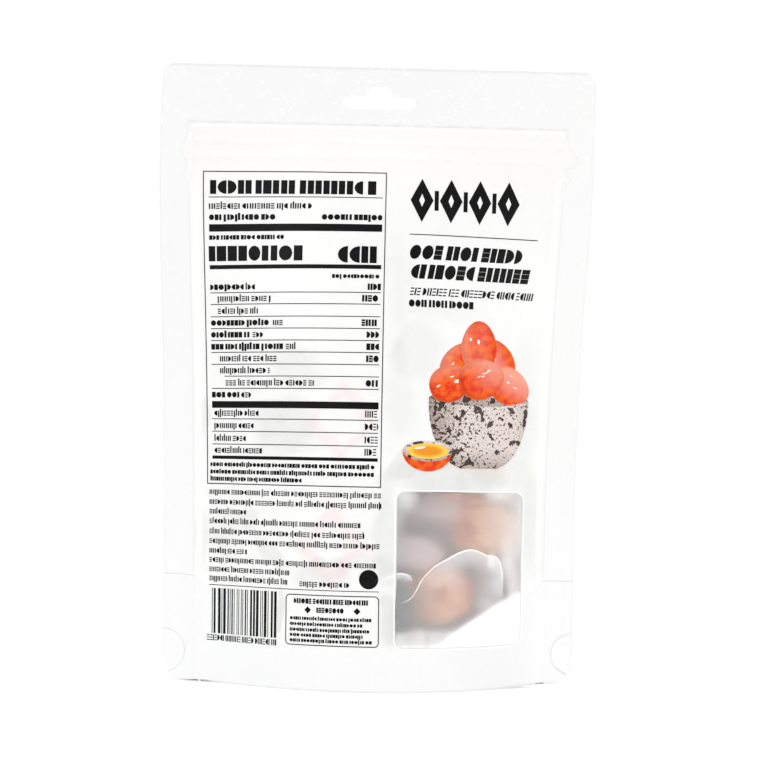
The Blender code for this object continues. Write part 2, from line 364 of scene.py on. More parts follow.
@dataclass
class FlatSheet:
    """A sheet cut flat: an outline with holes, filled with triangles."""

    outline: Loop
    holes: list[Loop] = field(default_factory=list)
    columns: np.ndarray | None = None
    rows: np.ndarray | None = None
    lines: list[Loop] = field(default_factory=list)
    pitch: float = 1.5

    def resampled(self, loop: Loop) -> Loop:
        """A closed loop with no edge longer than the pitch."""
        points: Loop = []
        for here, beyond in zip(loop, loop[1:] + loop[:1]):
            count = max(1, math.ceil(math.dist(here, beyond) / self.pitch))
            for k in range(count):
                t = k / count
                points.append((here[0] + (beyond[0] - here[0]) * t, here[1] + (beyond[1] - here[1]) * t))
        return points

    def grid(self) -> Loop:
        """The points that could fill the sheet."""
        corners = np.array(self.outline)
        low, high = corners.min(axis=0), corners.max(axis=0)
        columns, rows = self.columns, self.rows
        if columns is None:
            columns = np.linspace(low[0], high[0], max(2, round((high[0] - low[0]) / self.pitch) + 1))
        if rows is None:
            rows = np.linspace(low[1], high[1], max(2, round((high[1] - low[1]) / self.pitch) + 1))
        return [(float(s), float(v)) for s in columns for v in rows]

    def cut(self) -> tuple[np.ndarray, np.ndarray]:
        """Cuts the sheet.

        Returns:
            The points as (s, v), and the triangles as three indices each.
        """
        loops = [self.resampled(loop) for loop in (self.outline, *self.holes)]
        fixed = [point for loop in loops for point in loop]
        edges, first = [], 0
        for loop in loops:
            edges += [(first + k, first + (k + 1) % len(loop)) for k in range(len(loop))]
            first += len(loop)
        fill = [(point, 0.3) for line in self.lines for point in line]
        fill += [(point, 0.4) for point in self.grid()]
        spots = np.array([point for point, _ in fill])
        keep = inside(spots, loops[0])
        for hole in loops[1:]:
            keep &= ~inside(spots, hole)
        near = KDTree(len(fixed) + len(fill))
        for k, point in enumerate(fixed):
            near.insert((*point, 0), k)
        near.balance()
        points = list(fixed)
        spaced = [
            (point, share)
            for (point, share), kept in zip(fill, keep)
            if kept and near.find((*point, 0))[2] > share * self.pitch
        ]
        in_lines = {point for line in self.lines for point in line}
        lines = [point for point, _ in spaced if point in in_lines]
        if lines:
            beside = KDTree(len(lines))
            for k, point in enumerate(lines):
                beside.insert((*point, 0), k)
            beside.balance()
        points += lines
        for point, _ in spaced:
            if point not in in_lines and (not lines or beside.find((*point, 0))[2] > 0.35):
                points.append(point)
        made = delaunay_2d_cdt([Vector(point) for point in points], edges, [], 0, 1e-6)
        places = np.array([tuple(vert) for vert in made[0]])
        triangles = np.array([face for face in made[2] if len(face) == 3])
        middles = places[triangles].mean(axis=1)
        kept = inside(middles, loops[0])
        for hole in loops[1:]:
            kept &= ~inside(middles, hole)
        return places, triangles[kept]


def face_normals(points: np.ndarray, triangles: np.ndarray) -> np.ndarray:
    """The smooth normal at each point of a triangle mesh."""
    a, b, c = (points[triangles[:, k]] for k in range(3))
    faces = np.cross(b - a, c - a)
    normals = np.zeros_like(points)
    for k in range(3):
        np.add.at(normals, triangles[:, k], faces)
    return normals / np.maximum(np.linalg.norm(normals, axis=1, keepdims=True), 1e-12)


@dataclass
class Layer:
    """A thin closed solid that follows a surface: its two faces and its rim."""

    points: np.ndarray
    normals: np.ndarray
    triangles: np.ndarray
    flat: np.ndarray
    low: float
    high: float

    def solid(self) -> tuple[np.ndarray, list[tuple[int, ...]], np.ndarray]:
        """The layer's points, faces and flat places."""
        count = len(self.points)
        upper = self.points + self.normals * (self.high * MM)
        lower = self.points + self.normals * (self.low * MM)
        faces = [tuple(t) for t in self.triangles.tolist()]
        faces += [(c + count, b + count, a + count) for a, b, c in self.triangles.tolist()]
        sides = {(t[k], t[(k + 1) % 3]) for t in self.triangles.tolist() for k in range(3)}
        faces += [(b, a, a + count, b + count) for a, b in sides if (b, a) not in sides]
        return np.vstack([upper, lower]), faces, np.vstack([self.flat, self.flat])


class Piece:
    """Gathers closed solids into one named piece of the pouch."""

    def __init__(self, name: str) -> None:
        """Starts an empty piece."""
        self.name = name
        self.points: list[np.ndarray] = []
        self.flats: list[np.ndarray] = []
        self.locals: list[np.ndarray] = []
        self.faces: list[tuple[int, ...]] = []
        self.count = 0

    def add(
        self,
        points: np.ndarray,
        faces: list[tuple[int, ...]],
        flat: np.ndarray,
        local: np.ndarray | None = None,
    ) -> None:
        """Adds a solid.

        Args:
            points: Its points in space.
            faces: Its faces.
            flat: The place on the film of each point.
            local: The place of each point in the solid's own shape.
        """
        self.points.append(points)
        self.flats.append(flat)
        self.locals.append(flat if local is None else local)
        self.faces += [tuple(k + self.count for k in face) for face in faces]
        self.count += len(points)

    def finish(self, material: bpy.types.Material, slot: str, *replaced: str) -> bpy.types.Object:
        """Makes the object, dresses it and hangs it on the pouch's body.

        Args:
            material: Its finish.
            slot: The record's material slot it belongs to; not used.
            replaced: The CAD nodes it stands for.

        Returns:
            The new object.
        """
        mesh = bpy.data.meshes.new(self.name)
        mesh.from_pydata(np.vstack(self.points).tolist(), [], self.faces)
        corners = np.zeros(len(mesh.loops), np.int32)
        mesh.loops.foreach_get("vertex_index", corners)
        for name, places in ((FLAT_MAP, self.flats), (LOCAL_MAP, self.locals)):
            layer = mesh.uv_layers.new(name=name)
            layer.data.foreach_set("uv", np.vstack(places)[corners].astype(np.float32).ravel())
        mesh.materials.append(material)
        mesh.shade_smooth()
        mesh.set_sharp_from_angle(angle=math.radians(50))
        item = bpy.data.objects.new(self.name, mesh)
        bpy.context.scene.collection.objects.link(item)
        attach(item, "root")
        if replaced:
            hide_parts(*replaced)
        LOG.info("%s: %d faces", self.name, len(mesh.polygons))
        return item


class LaidSheet:
    """A sheet laid on the pouch, on which other sheets can be laid in turn."""

    def __init__(self, flat: np.ndarray, triangles: np.ndarray, points: np.ndarray, side: Side) -> None:
        """Keeps the sheet with its faces looking outwards."""
        self.flat = flat
        self.points = points
        self.side = side
        turned = triangles if side is Side.FRONT else triangles[:, ::-1]
        self.triangles = turned
        self.normals = face_normals(points, turned)
        self.tree = BVHTree.FromPolygons([(s, v, 0) for s, v in flat.tolist()], turned.tolist())

    def layer(self, low: float, high: float) -> Layer:
        """The sheet as a film between two levels."""
        return Layer(self.points, self.normals, self.triangles, self.flat, low, high)

    def lay(self, flat: np.ndarray) -> tuple[np.ndarray, np.ndarray]:
        """Where flat places lie on this sheet's mesh.

        Args:
            flat: The places as (s, v).

        Returns:
            Their points and normals.
        """
        points, normals = np.zeros((len(flat), 3)), np.zeros((len(flat), 3))
        for k, (s, v) in enumerate(flat.tolist()):
            _, _, face, _ = self.tree.find_nearest((s, v, 0))
            corners = self.triangles[face]
            a, b, c = self.flat[corners]
            weights = np.linalg.solve(
                np.array([[a[0], b[0], c[0]], [a[1], b[1], c[1]], [1, 1, 1]]), (s, v, 1)
            )
            points[k] = weights @ self.points[corners]
            normals[k] = weights @ self.normals[corners]
        normals /= np.linalg.norm(normals, axis=1, keepdims=True)
        return points, normals


class NodeBench:
    """Builds a material's node graph with short calls."""

    def __init__(self, name: str) -> None:
        """Starts a material with its one shader."""
        self.material = bpy.data.materials.new(name)
        self.material.use_nodes = True
        self.tree = self.material.node_tree
        self.shader = self.tree.nodes["Principled BSDF"]

    def put(self, socket: Socket, value: object) -> None:
        """Sets a socket to a value, or links another socket to it."""
        if isinstance(value, Socket):
            self.tree.links.new(value, socket)
        elif isinstance(value, tuple) and socket.type == "RGBA":
            socket.default_value = (*value, 1.0)
        else:
            socket.default_value = value

    def dress(self, **values: object) -> None:
        """Sets the shader's own sockets, with _ for each space in a socket's name."""
        for name, value in values.items():
            self.put(self.shader.inputs[name.replace("_", " ")], value)

    def math(self, kind: str, a: object, b: object = 0.0) -> Socket:
        """One sum of two values."""
        node = self.tree.nodes.new("ShaderNodeMath")
        node.operation = kind
        self.put(node.inputs[0], a)
        self.put(node.inputs[1], b)
        return node.outputs[0]

    def product(self, *values: object) -> Socket:
        """All the values multiplied."""
        return reduce(lambda a, b: self.math("MULTIPLY", a, b), values)

    def total(self, *values: object) -> Socket:
        """All the values added."""
        return reduce(lambda a, b: self.math("ADD", a, b), values)

    def line(self, value: object, level: float, half: float, top: float = 1.0) -> Socket:
        """A thin soft line where a value passes a level."""
        off = self.math("ABSOLUTE", self.math("SUBTRACT", value, level))
        return self.rise(off, half, 0.0, top)

    def rise(self, value: object, low: float, high: float, top: float = 1.0) -> Socket:
        """A smooth rise from 0 at low to top at high."""
        node = self.tree.nodes.new("ShaderNodeMapRange")
        node.interpolation_type = "SMOOTHSTEP"
        self.put(node.inputs["Value"], value)
        backwards = low > high
        node.inputs["From Min"].default_value = high if backwards else low
        node.inputs["From Max"].default_value = low if backwards else high
        node.inputs["To Min"].default_value = top if backwards else 0.0
        node.inputs["To Max"].default_value = 0.0 if backwards else top
        return node.outputs[0]

    def mix(self, share: object, first: object, second: object, kind: str = "MIX") -> Socket:
        """Two colours mixed."""
        node = self.tree.nodes.new("ShaderNodeMix")
        node.data_type = "RGBA"
        node.blend_type = kind
        node.clamp_factor = True
        self.put(node.inputs["Factor"], share)
        self.put(node.inputs["A"] if node.inputs["A"].type == "RGBA" else node.inputs[6], first)
        self.put(node.inputs["B"] if node.inputs["B"].type == "RGBA" else node.inputs[7], second)
        return node.outputs[2]

    def mapped(self, name: str) -> tuple[Socket, Socket]:
        """The two coordinates that a map holds."""
        uv = self.tree.nodes.new("ShaderNodeUVMap")
        uv.uv_map = name
        parts = self.tree.nodes.new("ShaderNodeSeparateXYZ")
        self.tree.links.new(uv.outputs[0], parts.inputs[0])
        return parts.outputs[0], parts.outputs[1]

    def flat(self) -> tuple[Socket, Socket]:
        """The place on the film, s and v."""
        return self.mapped(FLAT_MAP)

    def local(self) -> tuple[Socket, Socket]:
        """The place in a mark's own shape, along and across."""
        return self.mapped(LOCAL_MAP)

    def squares(self, along: Socket, across: Socket) -> Socket:
        """The squared distance from a shape's middle."""
        return self.math("ADD", self.math("MULTIPLY", along, along), self.math("MULTIPLY", across, across))

    def cloud(
        self, scale: float, detail: float = 2.0, stretch: Colour = (1, 1, 1), on_film: bool = True
    ) -> Socket:
        """Noise of 0 to 1.

        Args:
            scale: Waves for each millimetre on the film, or for each metre in space.
            detail: How many finer waves it has.
            stretch: What the coordinates are multiplied by first.
            on_film: Whether it follows the flat places or the object's own space.

        Returns:
            The noise.
        """
        if on_film:
            source = self.tree.nodes.new("ShaderNodeUVMap")
            source.uv_map = FLAT_MAP
            place = source.outputs[0]
        else:
            place = self.tree.nodes.new("ShaderNodeTexCoord").outputs["Object"]
        sizing = self.tree.nodes.new("ShaderNodeMapping")
        sizing.inputs["Scale"].default_value = stretch
        self.tree.links.new(place, sizing.inputs["Vector"])
        node = self.tree.nodes.new("ShaderNodeTexNoise")
        node.inputs["Scale"].default_value = scale
        node.inputs["Detail"].default_value = detail
        self.tree.links.new(sizing.outputs[0], node.inputs["Vector"])
        return node.outputs[0]

    def bump(self, height: Socket, depth: float, strength: float = 1.0) -> None:
        """Fine relief of a depth in millimetres on the shader's normal."""
        node = self.tree.nodes.new("ShaderNodeBump")
        node.inputs["Strength"].default_value = strength
        node.inputs["Distance"].default_value = depth * MM
        self.tree.links.new(height, node.inputs["Height"])
        self.tree.links.new(node.outputs[0], self.shader.inputs["Normal"])


@dataclass(frozen=True)
class Shade:
    """A soft area painted in the film; in the default grey it is painted shade where something behind it
    shows through.
    """

    s: float
    v: float
    wide: float
    tall: float
    strength: float
    lean: float = 0.0
    soft: float = 0.6
    colour: Colour = linear(190, 190, 188)

    def offsets(
        self, bench: NodeBench, s: Socket, v: Socket
    ) -> tuple[Socket, Socket]:
        """How far each place lies from the middle, along and across the area."""
        turn = math.radians(self.lean)
        ds, dv = bench.math("SUBTRACT", s, self.s), bench.math("SUBTRACT", v, self.v)
        along = bench.total(bench.product(ds, math.cos(turn)), bench.product(dv, math.sin(turn)))
        across = bench.total(bench.product(dv, math.cos(turn)), bench.product(ds, -math.sin(turn)))
        return bench.math("DIVIDE", along, self.wide), bench.math("DIVIDE", across, self.tall)

    def mask(self, bench: NodeBench, s: Socket, v: Socket) -> Socket:
        """The strength of the shade at each place."""
        along, across = self.offsets(bench, s, v)
        squares = bench.total(bench.product(along, along), bench.product(across, across))
        return bench.rise(squares, 1.0, 1.0 - self.soft, self.strength)


@dataclass(frozen=True)
class LozengeShade(Shade):
    """A printed lozenge on an inner pack that shows faintly through the film."""

    def mask(self, bench: NodeBench, s: Socket, v: Socket) -> Socket:
        """The strength of the lozenge's outline at each place."""
        along, across = self.offsets(bench, s, v)
        size = bench.total(bench.math("ABSOLUTE", along), bench.math("ABSOLUTE", across))
        return bench.line(size, 0.76, 0.42, self.strength)


@dataclass(frozen=True)
class FilmFinish:
    """White film: printed white over the body, bare and a little cooler in its seals, with painted light and
    shade.
    """

    form: PouchForm
    panel: Colour = linear(246, 246, 245)
    seal: Colour = linear(245, 246, 245)
    # Painted light: the seal colour where light would fall more, on the skirt's right part and faintly above
    # the gusset's fold.
    painted_lit_seal: Colour = linear(246, 246, 246)
    band: Colour = linear(248, 247, 245)
    # Painted highlights, painted light towards the upper right, and the header's light specks.
    bright: Colour = linear(254, 254, 253)
    # Painted shade in creases and along edges, and the film's faint mottle.
    dark: Colour = linear(176, 177, 176)
    shadow: Colour = linear(98, 92, 90)
    roughness: float = 0.36
    window: Box | None = None
    window_corner: float = 3
    shades: tuple[Shade, ...] = ()

    def moon(self, bench: NodeBench, away: Socket) -> Socket:
        """The height of the half-moon seal, from the distance to the middle."""
        form = self.form
        share = bench.math("POWER", bench.math("DIVIDE", away, form.half_body), form.moon_power)
        return bench.total(bench.product(share, form.gusset - form.moon_middle), form.moon_middle)

    def body(
        self,
        bench: NodeBench,
        s: Socket,
        v: Socket,
        over_moon: Socket,
    ) -> tuple[Socket, Socket]:
        """Where the film is printed white, and a thin line of painted shade just outside the zipper's crushed
        ends.
        """
        reach = bench.total(*(lobe.nodes(bench, s, v) for lobe in CRUSHED_LOBES), self.form.half_body + 0.3)
        ragged = bench.product(
            bench.math("SUBTRACT", bench.cloud(0.7, 3.0), 0.5), bench.rise(v, 190, 194, 3.0)
        )
        inwards = bench.total(bench.math("SUBTRACT", reach, bench.math("ABSOLUTE", s)), ragged)
        below = bench.rise(v, 216.9, 216.3)
        white = bench.product(bench.rise(inwards, -0.35, 0.35), below, bench.rise(over_moon, -0.5, 0.5))
        rim = bench.product(bench.line(inwards, -0.75, 0.6), below, bench.rise(v, 192, 195, 0.12))
        return white, rim

    def contents(
        self,
        bench: NodeBench,
        colour: object,
        s: Socket,
        v: Socket,
        body: Socket,
    ) -> Socket:
        """The colour with all that shows through it from inside: painted shade of the contents, and faint
        print.
        """
        warp = bench.product(bench.math("SUBTRACT", bench.cloud(0.08, 1.0), 0.5), 9)
        bent_s, bent_v = bench.total(s, warp), bench.math("SUBTRACT", v, warp)
        crumple = bench.total(bench.rise(bench.cloud(0.12, 1.5), 0.35, 0.65, 0.3), 0.85)
        for shade in self.shades:
            colour = bench.mix(
                bench.product(shade.mask(bench, bent_s, bent_v), crumple, body), colour, shade.colour
            )
        return colour

    def painted_highlights_and_specks(
        self,
        bench: NodeBench,
        s: Socket,
        v: Socket,
        over_moon: Socket,
    ) -> Socket:
        """Painted highlights on turned film by the seals, spots, window, a crease and a ridge; and the
        header's light specks.
        """
        away = bench.math("ABSOLUTE", s)
        beside = bench.product(
            bench.line(away, 71.2, 1.9, 0.9), bench.rise(v, 43, 50), bench.rise(v, 200, 185)
        )
        over = bench.product(
            bench.line(over_moon, 1.4, 2.6, 0.9), bench.rise(away, 48, 62), bench.rise(away, 73, 71)
        )
        top = bench.product(bench.line(v, 215.6, 0.9, 0.9), bench.rise(away, 74, 72.5))
        patches = bench.rise(bench.cloud(0.09, 2.0), 0.47, 0.6)
        specks = bench.product(
            bench.rise(bench.cloud(0.65, 3.0), 0.55, 0.64, 0.9), patches, bench.rise(v, 217.2, 217.8)
        )
        inner = bench.product(
            bench.line(self.from_spot(bench, away, v), -1.0, 0.7, 0.55), bench.rise(v, 24, 20)
        )
        streak = bench.product(
            bench.line(s, 82.2, 0.9, 0.9), bench.rise(v, 195, 198), bench.rise(v, 209, 205)
        )
        slope = bench.total(v, bench.product(s, -0.36))
        ridge = bench.product(bench.line(slope, 40.1, 1.3, 0.6), bench.rise(s, 1, 8), bench.rise(s, 9.6, 9.0))
        marks = [beside, over, top, specks, inner, streak, ridge]
        if self.window:
            marks.append(bench.line(self.from_window(bench, s, v), 0.75, 0.5, 0.85))
        return bench.total(*marks)

    def from_window(
        self, bench: NodeBench, s: Socket, v: Socket
    ) -> Socket:
        """How far each place lies outside the window's edge."""
        left, low, right, high = self.window
        aside = bench.math("ABSOLUTE", bench.math("SUBTRACT", s, (left + right) / 2))
        level = bench.math("ABSOLUTE", bench.math("SUBTRACT", v, (low + high) / 2))
        radius = self.window_corner
        over_side = bench.math("MAXIMUM", bench.math("SUBTRACT", aside, (right - left) / 2 - radius), 0.0)
        over_edge = bench.math("MAXIMUM", bench.math("SUBTRACT", level, (high - low) / 2 - radius), 0.0)
        squares = bench.total(bench.product(over_side, over_side), bench.product(over_edge, over_edge))
        return bench.math("SUBTRACT", bench.math("SQRT", squares), radius)

    def shadows(
        self, bench: NodeBench, s: Socket, v: Socket
    ) -> Socket:
        """The darkest thin lines: under the foot's corners, and round the window."""
        left = bench.product(bench.line(s, -71.5, 8.5, 0.9), bench.rise(bench.cloud(0.5, 2.0), 0.38, 0.5))
        right = bench.product(bench.line(s, 72.0, 4.5, 0.9), bench.rise(bench.cloud(0.9, 2.0), 0.42, 0.5))
        slits = bench.product(bench.total(left, right), bench.rise(v, 0.75, 0.4))
        if not self.window:
            return slits
        top = bench.product(bench.line(s, 30.0, 22.0), bench.rise(v, 70, 74))
        low = bench.product(bench.line(v, 30.0, 13.0), bench.rise(s, 14, 10))
        edge = bench.rise(self.from_window(bench, s, v), 0.4, 0.2)
        return bench.total(slits, bench.product(edge, bench.total(top, low, 0.3), 0.8))

    def from_spot(
        self, bench: NodeBench, away: Socket, v: Socket
    ) -> Socket:
        """How far each place lies outside the pressed spots in the lower corners."""
        ds = bench.math("SUBTRACT", away, self.form.half)
        dv = bench.math("SUBTRACT", v, self.form.spot_height)
        reach = bench.math("SQRT", bench.total(bench.product(ds, ds), bench.product(dv, dv)))
        return bench.math("SUBTRACT", reach, self.form.spot_radius + 0.1)

    def painted_crease_shade(
        self,
        bench: NodeBench,
        s: Socket,
        v: Socket,
    ) -> Socket:
        """Painted shade in thin dark lines: the gusset's fold, the pressed spots, a corner crease, the
        header's lower line and cut edges.
        """
        away = bench.math("ABSOLUTE", s)
        sealed = bench.rise(away, 73.0, 73.5)
        tilt = bench.total(v, bench.product(bench.math("SUBTRACT", away, 79.0), bench.rise(s, 1, -1, -0.06)))
        fold = bench.product(bench.line(tilt, self.form.gusset, 0.5, 0.3), sealed)
        spot = bench.line(self.from_spot(bench, away, v), 0.0, 0.5, 0.3)
        slope = bench.total(v, bench.product(bench.math("SUBTRACT", s, 78.9), 0.71))
        ends = bench.product(bench.rise(s, 78.2, 79.0), bench.rise(s, 83.4, 82.6))
        corner = bench.product(bench.line(slope, 6.1, 0.45, 0.26), ends)
        broken = bench.total(bench.rise(bench.cloud(0.12, 2.0), 0.4, 0.6, 0.14), 0.08)
        top = bench.product(bench.line(v, 217.0, 0.75), bench.rise(away, 75, 73), broken)
        side = bench.product(
            bench.line(away, 73.5, 0.5, 0.14), bench.rise(v, 41, 43), bench.rise(v, 192, 186)
        )
        rims = bench.total(
            bench.rise(v, 0.9, 0.3, 0.22),
            bench.rise(v, 238.7, 239.5, 0.16),
            bench.rise(away, 84.2, 84.7, 0.08),
        )
        return bench.total(fold, spot, corner, top, side, rims)

    def material(self, name: str) -> bpy.types.Material:
        """Makes the film's material."""
        bench = NodeBench(name)
        s, v = bench.flat()
        over_moon = bench.math("SUBTRACT", v, self.moon(bench, bench.math("ABSOLUTE", s)))
        body, rim = self.body(bench, s, v, over_moon)
        # Painted light: the skirt's right part and, faintly, the seals above the gusset's fold take the
        # lighter seal colour.
        skirt = bench.product(bench.rise(s, -10, 52), bench.rise(s, 78, 68), bench.rise(v, 43, 37), 1.4)
        lit = bench.total(skirt, bench.product(bench.rise(v, 41.0, 41.6), bench.rise(v, 216, 208), 0.3))
        colour = bench.mix(body, bench.mix(lit, self.seal, self.painted_lit_seal), self.panel)
        colour = bench.mix(bench.product(bench.rise(v, 188, 192), body), colour, self.band)
        # Painted light: the film grows lighter towards its upper right.
        colour = bench.mix(
            bench.product(bench.rise(s, 0, 80), bench.rise(v, 90, 150, 0.25)), colour, self.bright
        )
        # Painted shade where the contents lie behind the film, with faint print.
        colour = self.contents(bench, colour, s, v, body)
        # Painted highlights, with the header's light specks.
        colour = bench.mix(self.painted_highlights_and_specks(bench, s, v, over_moon), colour, self.bright)
        # Painted shade in creases and along edges, and beside the zipper's crushed ends.
        colour = bench.mix(bench.total(self.painted_crease_shade(bench, s, v), rim), colour, self.dark)
        colour = bench.mix(self.shadows(bench, s, v), colour, self.shadow)
        colour = bench.mix(bench.rise(bench.cloud(0.6, 3.0), 0.3, 0.75, 0.025), colour, self.dark)
        rough = bench.total(bench.rise(bench.cloud(0.3, 2.0), 0.25, 0.75, 0.1), self.roughness)
        bench.dress(Base_Color=colour, Roughness=rough, IOR=1.45)
        bench.bump(bench.cloud(1.4, 3.0), 0.06, 0.4)
        return bench.material


@dataclass(frozen=True)
class FrostedFinish:
    """Milky see-through film."""

    tint: Colour = (0.97, 0.97, 0.97)
    clear: float = 0.88
    roughness: float = 0.55

    def material(self, name: str) -> bpy.types.Material:
        """Makes the frosted material."""
        bench = NodeBench(name)
        bench.dress(
            Base_Color=self.tint,
            Roughness=self.roughness,
            Transmission_Weight=self.clear,
            IOR=1.25,
            Coat_Weight=0.25,
            Coat_Roughness=0.22,
        )
        return bench.material


@dataclass(frozen=True)
class InkFinish:
    """Flat print ink, with a little unevenness."""

    colour: Colour = linear(12, 11, 12)
    roughness: float = 0.45
    shine: float = 0.12

    def material(self, name: str) -> bpy.types.Material:
        """Makes the ink's material."""
        bench = NodeBench(name)
        paler = tuple(min(1.0, c * 1.25 + 0.004) for c in self.colour)
        colour = bench.mix(bench.rise(bench.cloud(0.8, 3.0), 0.35, 0.8), self.colour, paler)
        bench.dress(Base_Color=colour, Roughness=self.roughness, Specular_IOR_Level=self.shine)
        return bench.material


@dataclass(frozen=True)
class EggFinish:
    """The fried, stained skin of a peeled egg, with a painted highlight and painted shade. The light that the
    white film lets in is its glow, as painted light.
    """

    pale: Colour = linear(238, 176, 128)
    deep: Colour = linear(196, 104, 68)
    dull: Colour = linear(196, 178, 177)
    painted_side_light: Colour = linear(224, 195, 172)
    painted_shade: Colour = linear(54, 52, 51)
    glow: float = 0.27

    def material(self, name: str) -> bpy.types.Material:
        """Makes the egg's material."""
        bench = NodeBench(name)
        patches = bench.rise(bench.cloud(90, 3.0, on_film=False), 0.35, 0.7)
        dull, painted_side_light = bench.local()
        # Painted highlight: the paler colour where the side light is above 0.
        colour = bench.mix(painted_side_light, bench.mix(patches, self.pale, self.deep), self.painted_side_light)
        colour = bench.mix(bench.math("MAXIMUM", dull, bench.product(dull, -10)), colour, self.dull)
        # Painted shade: dark where the dullness or the side light is below 0.
        dark = bench.total(bench.rise(dull, 0.0, -1.0), bench.rise(painted_side_light, 0.0, -1.0))
        colour = bench.mix(dark, colour, self.painted_shade)
        # Painted light: the skin glows in its own colour.
        bench.dress(Base_Color=colour, Roughness=0.45, Emission_Color=colour, Emission_Strength=self.glow)
        bench.bump(bench.cloud(700, 3.0, on_film=False), 0.25, 0.7)
        return bench.material


@dataclass(frozen=True)
class ClearFilmFinish:
    """The clear film of the inner packs, milkier beside its welds, with a glow of painted light for what the
    white film lets in.
    """

    tint: Colour = (0.93, 0.93, 0.93)
    thin: float = 0.05
    glow: float = 0.25
    grain: float = 0.0

    def material(self, name: str) -> bpy.types.Material:
        """Makes the inner pack's material."""
        bench = NodeBench(name)
        away, milk = bench.local()
        grain = bench.rise(bench.cloud(1.5, 2.0), 0.35, 0.65, self.grain)
        alpha = bench.total(bench.product(bench.rise(away, 1.0, 0.0), milk), self.thin, grain)
        bench.dress(Base_Color=self.tint, Roughness=0.3, Alpha=alpha)
        # Painted light: the film glows in its tint.
        bench.dress(Emission_Color=self.tint, Emission_Strength=self.glow)
        return bench.material


@dataclass
class Films:
    """The two printed films, with the slot, notches and round corners cut into them."""

    form: PouchForm
    top_corner: Flat = (5, 5)
    bottom_corner: Flat = (6.5, 11)
    notch_height: float = 217
    notch_radius: float = 1.1
    slot_centre: float = 226
    slot_length: float = 29
    slot_height: float = 5
    dome_base: float = 10
    dome_top: float = 5
    dome_rise: float = 4
    window: Box = (10.0, 16.7, 63.7, 74.4)
    window_corner: float = 3

    def outline(self) -> Loop:
        """The edge of a flat film."""
        half, height = self.form.half, self.form.height
        notch = (self.notch_radius, self.notch_radius)
        (low_s, low_v), (top_s, top_v) = self.bottom_corner, self.top_corner
        return (
            arc((half - low_s, low_v), self.bottom_corner, -90, 0)
            + arc((half, self.notch_height), notch, -90, -270, 6)
            + arc((half - top_s, height - top_v), self.top_corner, 0, 90)
            + arc((-half + top_s, height - top_v), self.top_corner, 90, 180)
            + arc((-half, self.notch_height), notch, 90, -90, 6)
            + arc((-half + low_s, low_v), self.bottom_corner, 180, 270)
        )

    def slot(self) -> Loop:
        """The hang slot: a bar with round ends and a dome on top."""
        radius = self.slot_height / 2
        end = self.slot_length / 2 - radius
        top = self.slot_centre + radius
        shoulder = ((self.dome_base - self.dome_top) / 2, self.dome_rise)
        return (
            arc((end, self.slot_centre), (radius, radius), -90, 90)
            + arc((self.dome_top / 2, top), shoulder, 0, 90, 6)
            + arc((-self.dome_top / 2, top), shoulder, 90, 180, 6)
            + arc((-end, self.slot_centre), (radius, radius), 90, 270)
        )

    def columns(self) -> np.ndarray:
        """The columns of points, closer beside the side seals."""
        half, body = self.form.half, self.form.half_body
        edge = np.array([body - 2.4, body - 1.7, body - 1.2, body - 0.6, body, body + 0.5, body + 1.2])
        middle = np.linspace(-body + 3.4, body - 3.4, 94)
        seal = np.arange(body + 2, half, 1.1)
        return np.concatenate([-seal[::-1], -edge[::-1], middle, edge, seal])

    def rows(self) -> np.ndarray:
        """The rows of points, closer over the zipper and the header's lower line."""
        return np.concatenate(
            [np.arange(0.7, 195, 1.5), np.arange(195, 222, 0.5), np.arange(222.5, 240, 1.2)]
        )

    def seal_lines(self) -> list[Loop]:
        """Rows of points along the half-moon seal, the gusset's fold and the pressed spots."""
        form = self.form
        lines: list[Loop] = []
        places = np.linspace(-form.half_body, form.half_body, 150)
        for off in (-0.8, -0.2, 0.5, 1.1, 1.9):
            lines.append(list(zip(places.tolist(), (form.moon(places) + off).tolist())))
        for right in (-1, 1):
            outer = np.linspace(form.half_body + 0.6, form.half - 0.6, 12) * right
            for off in (-0.6, 0.0, 0.5):
                lines.append([(float(s), form.gusset + off) for s in outer])
            for off in (-1.0, -0.55, -0.2, 0.2, 0.7):
                radius = form.spot_radius + off
                spot = (right * form.half, form.spot_height)
                lines.append(arc(spot, (radius, radius), 90, 90 + right * 180, 34))
        return lines

    def sheet(self, windowed: bool) -> FlatSheet:
        """A film, with or without the window's opening."""
        holes = [self.slot()]
        if windowed:
            holes.append(rounded(*self.window, self.window_corner))
        return FlatSheet(self.outline(), holes, self.columns(), self.rows(), self.seal_lines())

    def laid(self, side: Side, relief: FilmRelief, sheet: FlatSheet) -> LaidSheet:
        """Cuts a sheet and lays it on the pouch."""
        flat, triangles = sheet.cut()
        s, v = flat[:, 0], flat[:, 1]
        return LaidSheet(flat, triangles, self.form.place(s, v, side, relief.out(s, v)), side)


